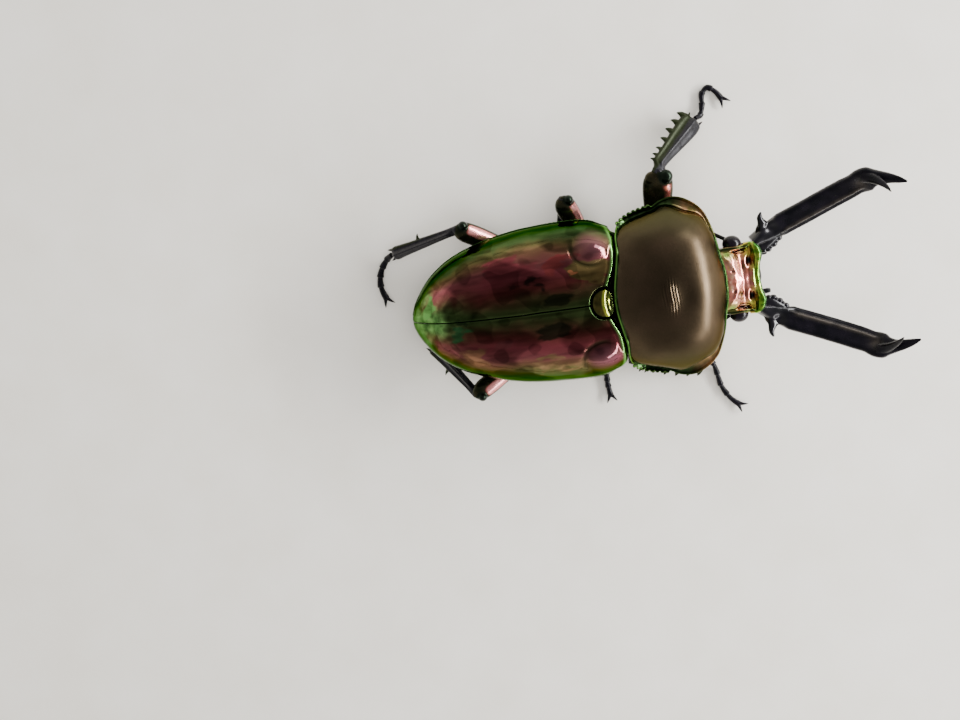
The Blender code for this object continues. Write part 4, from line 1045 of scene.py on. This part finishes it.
def scutellum():
    """The small rounded shield between the roots of the wing cases, with a rolled front."""
    turns = np.linspace(0, 2 * math.pi, 161)[:-1]
    ahead, aside = np.cos(turns), np.sin(turns)
    power = np.where(ahead > 0, 3.4, 2.0)
    reach = (np.abs(ahead) ** power + np.abs(aside) ** power) ** (-1 / power)
    length = np.where(ahead > 0, SCUTELLUM_FRONT, SCUTELLUM_BACK)
    outline = np.stack([length * ahead * reach, SCUTELLUM_HALF_WIDTH * aside * reach, 0 * turns], 1)

    def rings_of(sizes, heights):
        rings = outline * np.array(sizes)[:, None, None] + (SCUTELLUM_MIDDLE, 0, 0)
        rings[..., 2] = np.array(heights)[:, None]
        return rings

    sizes = np.concatenate([np.linspace(0.02, 0.93, 44), np.linspace(0.94, 1.0, 9)])
    upper = rings_of(sizes, SCUTELLUM_TOP - 0.16 * sizes**2 - 0.25 * step_up(sizes, 0.93, 1.0))
    x = upper[..., 0] - 0.12 * upper[..., 1] ** 2
    front = 0.10 * bell(x - 25.15, 0.20) + 0.06 * bell(x - 25.75, 0.12) - 0.07 * bell(x - 25.5, 0.13)
    upper[..., 2] += front + 0.07 * bell(x - 24.1, 0.5)
    under = rings_of((1.0, 0.99, 0.8, 0.4, 0.1), (13.9, 13.5, 13.0, 12.75, 12.7))
    points, faces = skin(np.concatenate([upper, under]))
    points[:, 2] += 0.012 * ripple(points, 0.8, 51)
    y = points[:, 1]
    x = points[:, 0] - 0.12 * y**2
    roll = np.maximum(bell(x - 25.13, 0.17), 0.9 * bell(x - 25.77, 0.10) * bell(y - 0.3, 0.7))
    from_middle = np.hypot(
        (points[:, 0] - SCUTELLUM_MIDDLE) / SCUTELLUM_BACK, y / SCUTELLUM_HALF_WIDTH)
    edge = step_up(from_middle, 0.84, 0.97) * (x < ROLL_FRONT)
    values = {"roll": roll, "edge": np.maximum(edge, 0.8 * step_up(x, ROLL_FRONT, 25.5))}
    piece("scutellum", (points, faces), scutellum_paint(), values)


def body_ring(x, count=40):
    """A closed ring of the body under the wing cases, at x."""
    width = profile(ELYTRA_HALF_WIDTHS)(min(x - 0.3, 23.0))
    edge = profile(ELYTRA_EDGE)(x)
    inset = ELYTRA_WALL + GAP + 0.2 + profile(NECKING)(x)
    ridge = profile(ELYTRA_RIDGE)(x - 0.3) - inset
    narrowing = profile(NARROWING)(x)
    a = np.linspace(0, math.pi / 2, count)
    upper = np.stack([
        np.full(count, x), (width - inset) * narrowing * np.sin(a) ** ARCH_POWER,
        edge + max(ridge - edge, 0.2) * np.cos(a) ** ARCH_POWER], axis=1)
    under = edge - GAP - 0.05
    b = a[:-1][::-1]
    lower = np.stack([
        np.full(count - 1, x), (width - 0.7) * narrowing * np.sin(b),
        under - (under - profile(BELLY)(x)) * np.cos(b)], axis=1)
    return closed(np.concatenate([upper, lower]))


def belly(material):
    rings = []
    edges = [ABDOMEN_TIP, *STERNITE_EDGES, THORAX_REAR]
    for x in np.linspace(ABDOMEN_TIP, THORAX_REAR - GAP, 150):
        ring = body_ring(x)
        i = np.searchsorted(edges, x, side="right")
        share = (x - edges[i - 1]) / (edges[i] - edges[i - 1])
        under = ring[:, 2] < profile(ELYTRA_EDGE)(x) - GAP
        ring[under, 2] += STERNITE_STEP * share**2
        rings.append(ring)
    piece("abdomen", skin(rings), material)
    thorax = [skin([body_ring(x, 24) for x in np.linspace(THORAX_REAR, THORAX_FRONT, 40)])]
    coxae = []
    for side, _ in SIDES:
        thorax.append(ellipsoid((25.3, side * 3.3, 4.3), (1.7, 2.6, 1.2)))
        thorax.append(ellipsoid((17.0, side * 4.4, 4.4), (1.5, 3.6, 1.1)))
        coxae.append(ellipsoid((33.4, side * 3.0, 4.7), (1.7, 2.7, 1.2)))
    coxae.append(ellipsoid((34.0, 0, 4.9), (2.6, 0.8, 1.0)))
    piece("thorax", melted(thorax, 0.16, 3), material)
    piece("fore_coxae", melted(coxae, 0.12, 3), material, replaces=[])


# Head

def head():
    """The head: a plate with a raised X, two pits, and a rolled green ridge in front."""
    half_width, top, underside = (
        profile(knots) for knots in (HEAD_HALF_WIDTHS, HEAD_TOP, HEAD_UNDERSIDE))
    c, s = circle(120)
    across, tall = signed_power(c, HEAD_POWER), signed_power(s, HEAD_POWER)
    rings = []
    for x in np.linspace(HEAD_REAR, HEAD_FRONT, 70):
        middle, high = (top(x) + underside(x)) / 2, (top(x) - underside(x)) / 2
        rings.append(np.stack([
            np.full(len(c), x), half_width(x) * across, middle + high * tall], axis=1))
    ridge = np.array(HEAD_RIDGE)
    crest = smooth_line(ridge[:, :3], 120)
    wide = np.interp(crest[:, 1], ridge[1:-1, 1], ridge[1:-1, 3])
    wide = wide * (1 - 0.3 * step_up(np.abs(crest[:, 1]), 4.1, 4.4))
    parts = [skin(rings), tube(crest, wide, 0.52 * np.sqrt(wide / 0.5), sides=32)]
    for side, _ in SIDES:
        parts.append(tube(smooth_line(mirrored(CHEEK_LINE, side), 40), 0.26, 0.22, sides=16))
        parts.append(ellipsoid((44.5, side * 3.5, 8.6), (1.1, 0.9, 0.9)))
    points, faces = melted(parts, 0.062, 4)
    x, y, z = points.T
    ay = np.abs(y)
    up = step_up(normals_of(points, faces)[:, 2], 0.15, 0.6) * step_up(z, 8.9, 9.3)
    behind = np.interp(y, crest[10:-10, 1], crest[10:-10, 0]) - x
    pit = spot(x, ay, (44.22, 2.25), (0.36, 0.62))
    valley = bell(behind - 0.95, 0.32) * (1 - step_up(ay, 3.0, 3.8))
    red = spot(x, ay, (43.25, 1.75), (0.42, 0.55))
    boss = spot(x, y, (CROSSING, 0.1), (0.55, 0.6))
    rear_arm = bell(ay - 0.2 - 1.5 * (CROSSING - x), 0.55) * step_up(43.4 - x, 0.0, 0.5)
    front_arm = bell(ay - 0.55 * (x - CROSSING), 0.4) * step_up(x - 43.0, 0.0, 0.5) * (behind > 0.3)
    dimple = spot(x, ay, (41.9, 1.3), (0.3, 0.3))
    z = z + up * (
        0.13 * boss + 0.07 * rear_arm + 0.04 * front_arm - 0.50 * pit - 0.13 * valley
        - 0.10 * red - 0.10 * dimple + 0.018 * ripple(points, 1.0, 31))
    lobes = 0.42 + 0.28 * bell(ay - 3.3, 0.8)
    on_ridge = step_up(lobes + 0.12 - behind, 0.0, 0.22) * step_up(z, 7.5, 7.9)
    corner = bell(behind - 1.1, 0.9) * step_up(ay, 2.3, 3.1)
    values = {
        "front": on_ridge, "pit": np.clip(pit * 1.3 - 0.1, 0, 1) * up,
        # The ridge's forward face, darkened as painted shade.
        "fore": step_up(-behind, 0.10, 0.40),
        "under": 1 - np.clip((z - 7.9) / 1.2, 0, 1),
        # A painted highlight along the rear of the plate, on its upward faces.
        "painted_rear_highlight": bell(behind - 3.3 - 0.25 * np.cos(2.4 * y), 0.35) * up * (y < 3.4) * (y > -1.2),
        "red": np.maximum(red, 0.9 * dimple) * up,
        "cross": np.clip(boss + rear_arm + front_arm, 0, 1) * up * (1 - on_ridge),
        "gold": np.clip(corner + 0.6 * bell(behind - 0.6, 0.3), 0, 1) * (1 - on_ridge) * up,
        "brow": bell(ay - 4.1, 0.30) * (x < 44.4) * (z > 9.0),
    }
    shape = np.stack([x, y, z], axis=1), faces
    piece("head", shape, head_paint(), values)
    dark = horn_paint("mouth_horn", rough=(0.3, 0.5))
    parts = [
        ellipsoid((45.0, 0, 7.5), (0.95, 1.7, 0.5)),
        ellipsoid((42.9, 0, 6.2), (2.0, 2.4, 0.62)),
    ]
    for side, _ in SIDES:
        parts.append(ellipsoid((45.0, side * 3.6, 7.8), (0.6, 0.8, 0.8)))
        parts.append(ellipsoid((43.6, side * 3.9, 7.4), (0.7, 0.5, 0.5)))
    piece("mouth", melted(parts, 0.09, 3), dark, replaces=[])
    pair("eye", ellipsoid(EYE_CENTRE, EYE_RADII, 72, 48), eye_paint())


def calmed(points, faces, share, rounds):
    """Points moved towards the middle of their neighbours, each by its own share."""
    corners = np.array(faces)
    here, there = corners.ravel(), np.roll(corners, -1, axis=1).ravel()
    here, there = np.concatenate([here, there]), np.concatenate([there, here])
    count = np.bincount(here, minlength=len(points))
    for _ in range(rounds):
        middle = [np.bincount(here, points[there, i], len(points)) / count for i in range(3)]
        points = points + (0.5 * share)[:, None] * (np.stack(middle, axis=1) - points)
    return points


def pillow(outline, half_height, rows=18):
    """A plate with a smooth closed outline, thickest in its middle."""
    line = smooth_line([*outline, outline[0]], 181)[:-1]
    centre = line.mean(axis=0)
    rings = []
    for angle in np.linspace(1.45, -1.45, rows):
        reach = math.cos(angle) ** 0.6
        rings.append(centre + (line - centre) * reach + (0, 0, half_height * math.sin(angle)))
    return skin(rings)


def beside(points, line):
    """For each point, the index of the nearest point of a line."""
    found = np.empty(len(points), int)
    for start in range(0, len(points), 20000):
        some = points[start:start + 20000]
        apart = ((some[:, None] - line[None]) ** 2).sum(axis=2)
        found[start:start + 20000] = apart.argmin(axis=1)
    return found


def mandible():
    """One antler: a strap-like blade with a keel, an outer thorn, a toothed lobe, two prongs."""
    line = smooth_line(MANDIBLE_LINE, 220)
    run = run_of(line)
    wide, high = profile(MANDIBLE_HALF_WIDTHS)(run), profile(MANDIBLE_HALF_HEIGHTS)(run)
    up = np.array((0, -math.sin(MANDIBLE_TILT), math.cos(MANDIBLE_TILT)))
    tangents = np.gradient(line, axis=0)
    inner = np.array([unit(np.cross(tangent, up)) for tangent in tangents])
    tops = np.array([unit(np.cross(i, tangent)) for i, tangent in zip(inner, tangents)])
    c, s = circle(112)
    across, tall = signed_power(c, 0.65), signed_power(s, 0.7)
    rings = []
    for i, at in enumerate(run):
        body = between(at, 3.4, 4.6, 14.6, 16.0)
        keel = bell(across - 0.34, 0.11) * body
        shelf = step_up(across, 0.42, 0.62) * body
        trough = bell(across + 0.35, 0.45) * body
        hollow = bell(across - 0.05, 0.50) * bell(at - 15.3, 0.9)
        rise = 1 + (0.30 * keel - 0.38 * shelf - 0.12 * trough - 0.40 * hollow) * (s > 0)
        rings.append(
            line[i] + np.outer(across * wide[i], inner[i]) + np.outer(tall * rise * high[i], tops[i]))
    reach = np.linspace(0, THORN_HALF_WIDTHS[-1][0], 50)
    thorn = (profile(knots)(reach) for knots in (THORN_HALF_WIDTHS, THORN_HALF_HEIGHTS))
    parts = [
        skin(rings), pillow(MANDIBLE_ROOT, ROOT_HALF_HEIGHT),
        tube(smooth_line(THORN_LINE, 50), *thorn, sides=32),
        cone(*PRONG, sides=24, rows=30, flat=0.8),
    ]
    for x, y, size in LOBE_TEETH:
        parts.append(ellipsoid((x, y, LOBE_HEIGHT), (size, 0.8 * size, 0.42), 20, 12))
    points, faces = melted(parts, 0.05, 1)
    from_thorn = np.hypot(points[:, 0] - THORN_FOOT[0], points[:, 1] - THORN_FOOT[1])
    points = calmed(points, faces, bell(from_thorn, 1.15), 36)
    nearest = beside(points, line)
    offset = points - line[nearest]
    aside = (offset * inner[nearest]).sum(axis=1) / np.maximum(wide[nearest], 0.2)
    upper = (offset * tops[nearest]).sum(axis=1) > 0
    at = run[nearest]
    keel = bell(aside - 0.38, 0.16) * between(at, 4.0, 5.0, 14.8, 15.8)
    hollow = bell(aside - 0.1, 0.45) * bell(at - 15.3, 0.8)
    values = {
        # Where the painted brown sheen lies: the upper keel and the hollow near the tip.
        "painted_sheen": upper * np.maximum(keel, 0.8 * hollow),
        "gloss": 1 - step_up(at, 3.4, 4.6),
    }
    # The smooth hollow between the thorn and the blade.
    facing = step_up(normals_of(points, faces)[:, 2], 0.2, 0.7)
    hollow = spot(points[:, 0], points[:, 1], ROOT_HOLLOW, (0.80, 0.62))
    points[:, 2] += ripple(points, 1.8, 41) * 0.010 - 0.50 * hollow * facing
    material = horn_paint("black_horn", (0.20, 0.30), painted_sheen=True)
    pair("mandible", (points, faces), material, values)


def feelers():
    """Elbowed antennae with a club of three leaves, and two beaded palps under the mouth."""
    scape = smooth_line(SCAPE_LINE, 30)
    swell = np.interp(np.arange(30), [0, 20, 27, 29], [0.26, 0.27, 0.38, 0.26])
    parts = [tube(scape, swell, swell)]
    beads = smooth_line(BEAD_LINE, 73)
    swell = 0.22 + 0.17 * np.abs(np.sin(math.pi * np.arange(73) / 12))
    parts.append(tube(beads, swell, swell))
    for i in range(3):
        root = (37.3 - 0.45 * i, 8.0, 4.0)
        tip = (36.4 - 0.55 * i, 9.1 - 0.15 * i, 3.5)
        wide = 0.36 * np.sin(np.linspace(0.5, 2.9, 20)) ** 0.6
        parts.append(tube(np.linspace(root, tip, 20), wide, wide * 0.75))
    parts.append(tube(np.linspace((37.5, 8.0, 4.0), (36.0, 7.8, 3.9), 12), 0.28, 0.28))
    dark = horn_paint("feeler_horn")
    pair("antenna", melted(parts, 0.06, 1), dark)
    line = smooth_line(PALP_LINE, 61)
    swell = 0.24 + 0.12 * np.abs(np.sin(math.pi * np.arange(61) / 20)) ** 0.7
    pair("palp", melted([tube(line, swell, swell)], 0.06, 1), dark)


# Legs

def femur(name, leg, material):
    """The thigh: a spindle with a rounded knee that carries a knob on each side."""
    hip, knee = np.array(leg["hip"]), np.array(leg["knee"])
    side = side_of(name)
    share = np.linspace(-0.08, 1.05, 90)
    line = hip + np.outer(share, knee - hip)
    line[:, 2] -= FEMUR_SAG * 4 * share * (1 - share)
    widest = FEMUR_WIDTH[name.split("_")[0]] / 2
    wide = widest * profile(zip(FEMUR_STATIONS, FEMUR_WIDTHS))(share)
    high = profile(zip(FEMUR_STATIONS, FEMUR_HEIGHTS))(share)
    along = unit(knee - hip)
    aside = unit(np.cross((0, 0, 1), along)) * side
    knob = knee - along * 0.42 - aside * 0.50 * widest
    size = 0.46 * widest
    points, faces = melted([
        tube(line, wide, high, sides=44),
        ellipsoid(knob + (0, 0, 0.18), (size, size, 0.78)),
        ellipsoid(knee - along * 0.6 + aside * 0.42 * widest, (size, size, 0.70)),
    ], 0.08, 4)
    place = (points - hip) @ along / np.linalg.norm(knee - hip)
    ahead = 0.45 if name.startswith("fore") else 0.80
    # A painted pink highlight where the faces look towards a lamp ahead and above.
    lit = step_up(normals_of(points, faces) @ unit((ahead, 0.15 * side, 1.0)), 0.80, 0.95)
    # The knee knob, darkened in the paint as painted shade.
    away = np.linalg.norm((points - knob)[:, :2], axis=1)
    on_knob = 1 - step_up(away, 0.9 * size, 1.5 * size)
    painted_highlight = lit * between(place, 0.30, 0.55, 0.84, 0.96) * (1 - on_knob)
    values = {"painted_highlight": painted_highlight, "knob": on_knob}
    piece(f"femur_{name}", (points, faces), material, values)


def tibia(name, leg, material):
    """The shin: flattened, grooved and toothed, and widest near the foot."""
    knee, ankle = np.array(leg["knee"]), np.array(leg["ankle"])
    side = side_of(name)
    fore = name.startswith("fore")
    at = np.array([-0.04, 0.05, 0.15, 0.3, 0.5, 0.7, 0.85, 0.95, 1.0])
    wide = FORE_SHIN if fore else SHIN
    bow = FORE_BOW * (at > 0.1) * (1.2 - at) if fore else 0 * at
    width, height, shift = (profile(zip(at, values)) for values in (wide, SHIN_HEIGHTS, bow))
    along = unit(ankle - knee)
    flat = unit(np.cross(along, (0, 0, 1)))
    outward = flat if flat @ np.array([-1, 0.35 * side, 0]) > 0 else -flat
    up = np.cross(outward, along)
    up = up if up[2] > 0 else -up
    share = np.linspace(-0.04, 1.0, 90)
    line = knee + np.outer(share, ankle - knee) + np.outer(shift(share), outward)
    c, s = circle(56)
    rings = []
    for point, part in zip(line, share):
        grooved = (s > 0) * step_up(part, 0.05, 0.2)
        rise = 1 + (0.35 * bell(c + 0.15, 0.22) - 0.30 * bell(c - 0.45, 0.3)) * grooved
        tall = signed_power(s, 0.85) * rise * height(part)
        rings.append(point + np.outer(c * width(part), outward) + np.outer(tall, up))
    parts = [skin(rings), ellipsoid(knee + along * 0.15, (0.62, 0.62, 0.55))]
    for place, length, radius in FORE_TEETH if fore else [SHIN_TOOTH]:
        foot = knee + (ankle - knee) * place + outward * shift(place)
        root = foot + outward * (width(place) - 0.45)
        tip = foot + outward * (width(place) + 1.3 * length) - along * 0.25
        parts.append(cone(root, tip, radius * 1.35, along * 0.16, 20, 14, 0.6, up))
    for across in (-0.55, 0.55):
        root = ankle - along * 0.4 + outward * across * wide[-2]
        parts.append(cone(root, root + along * 1.15 + outward * across * 0.5, 0.26))
    points, faces = melted(parts, 0.06, 1)
    offset = (points - knee - np.outer((points - knee) @ along, along)) @ outward
    values = {"outer": step_up(offset, 0.0, 1.1)}
    piece(f"tibia_{name}", (points, faces), material, values)


def tarsus(name, leg, material):
    """The foot: four short joints, a long one and two claws."""
    ankle, knee = np.array(leg["ankle"]), np.array(leg["knee"])
    start = ankle + unit(ankle - knee) * (GAP + 0.1)
    line = smooth_line([start, *leg["foot"]], 129)
    i = np.arange(129) / 8
    least = TARSUS_RADIUS[name.split("_")[0]]
    short = least + 0.01 + 0.14 * ((i % 3) / 3) ** 1.4
    long = least + 0.022 * np.maximum(i - 12, 0) ** 1.2
    radii = np.where(i < 12, short, long)
    parts = [tube(line, radii, radii, sides=20)]
    end, before = line[-1], line[-17]
    ahead = unit((end - before) * (1, 1, 0))
    aside = np.cross((0, 0, 1), ahead)
    for turn in (-1, 1):
        tip = end + ahead * CLAW_LENGTH * 0.8 + aside * turn * 0.75
        tip[2] = 0.12
        root = end - ahead * 0.15 + aside * turn * 0.08
        parts.append(cone(root, tip, 0.26, (0, 0, 0.35)))
    points, faces = melted(parts, 0.055, 1)
    points[:, 2] = np.maximum(points[:, 2], 0.01)
    piece(f"tarsus_{name}", (points, faces), material)


def legs():
    shell, shin = femur_paint(), shin_paint()
    foot = horn_paint("foot_horn", rough=(0.18, 0.34))
    for name, leg in LEGS.items():
        femur(name, leg, shell)
        tibia(name, leg, shin)
        tarsus(name, leg, foot)


# Studio

def sky():
    """A soft sky that is brightest near the horizon and in front."""
    world = bpy.data.worlds.new("studio")
    bpy.context.scene.world = world
    world.use_nodes = True
    nodes = Nodes(world.node_tree, "Generated")
    ahead, height = (nodes.node("SeparateXYZ", axis, {0: nodes.where}) for axis in "XZ")
    colour = nodes.ramp(
        height, (0.0, 0.95, 0.92, 0.87), (0.20, 0.80, 0.78, 0.74), (0.27, 0.46, 0.445, 0.43),
        (0.52, 0.32, 0.31, 0.30), (0.85, 0.22, 0.215, 0.21), (0.97, 0.13, 0.127, 0.125))
    background = world.node_tree.nodes["Background"]
    nodes.put(background.inputs["Color"], colour)
    nodes.put(background.inputs["Strength"], nodes.remap(ahead, -1.0, 1.0, 1.5, 2.5, "LINEAR"))


def floor():
    bpy.ops.mesh.primitive_plane_add(size=FLOOR_SIZE, location=(0, 0, 0))
    plane = bpy.context.object
    plane.name = "floor"
    paint = Paint("floor_paper")
    paint.hue = paint.ramp(paint.noise(9.0, 4.0), (0.3, 0.84, 0.80, 0.72), (0.7, 0.89, 0.855, 0.785))
    plane.data.materials.append(paint.finish(0.8, paint.bump(paint.noise(1.5, 4.0), 0.15, 0.15)))


def lights():
    """A ceiling over the beetle, and a half ring of boxes in front of it."""
    lamps = [("ceiling", (0.0, 0.0, CEILING_HEIGHT), CEILING_SIZE, CEILING_SIZE, CEILING_POWER)]
    for turn, power in FRONT_BOXES:
        angle = math.radians(turn)
        place = (0.01 + BOX_DISTANCE * math.cos(angle), BOX_DISTANCE * math.sin(angle), BOX_HEIGHT)
        lamps.append(("front_box", place, *BOX_SIZE, power))
    for name, place, wide, high, power in lamps:
        data = bpy.data.lights.new(name, "AREA")
        data.shape = "RECTANGLE"
        data.size, data.size_y = wide, high
        data.energy = power
        lamp = bpy.data.objects.new(name, data)
        lamp.location = place
        # The ceiling lights the floor and is not mirrored in the shell.
        lamp.visible_glossy = name != "ceiling"
        towards = LIT_POINT - Vector(place)
        lamp.rotation_euler = towards.to_track_quat("-Z", "Y").to_euler()
        bpy.context.scene.collection.objects.link(lamp)


def camera():
    """The photograph's view, from above and a little to the beetle's left."""
    right = CAMERA_RIGHT.normalized()
    up = (CAMERA_UP - right * CAMERA_UP.dot(right)).normalized()
    turn = Matrix((right, up, right.cross(up))).transposed()
    place = Vector((np.array(CAMERA_PLACE) - MIDDLE) * MM)
    data = bpy.data.cameras.new("camera")
    data.lens = SENSOR_WIDTH * FOCAL_PIXELS / PHOTO_WIDTH
    data.sensor_width = SENSOR_WIDTH
    data.clip_start = 0.01
    seen = bpy.data.objects.new("camera", data)
    seen.matrix_world = Matrix.Translation(place) @ turn.to_4x4()
    bpy.context.scene.collection.objects.link(seen)
    bpy.context.scene.camera = seen


def main():
    pronotum()
    shell = elytra_paint()
    elytron("elytron_left", 1, shell)
    elytron("elytron_right", -1, shell)
    scutellum()
    belly(belly_paint())
    head()
    mandible()
    feelers()
    legs()
    sky()
    floor()
    lights()
    camera()


main()
for old in list(bpy.data.lights):
    if old.users == 0:
        bpy.data.lights.remove(old)
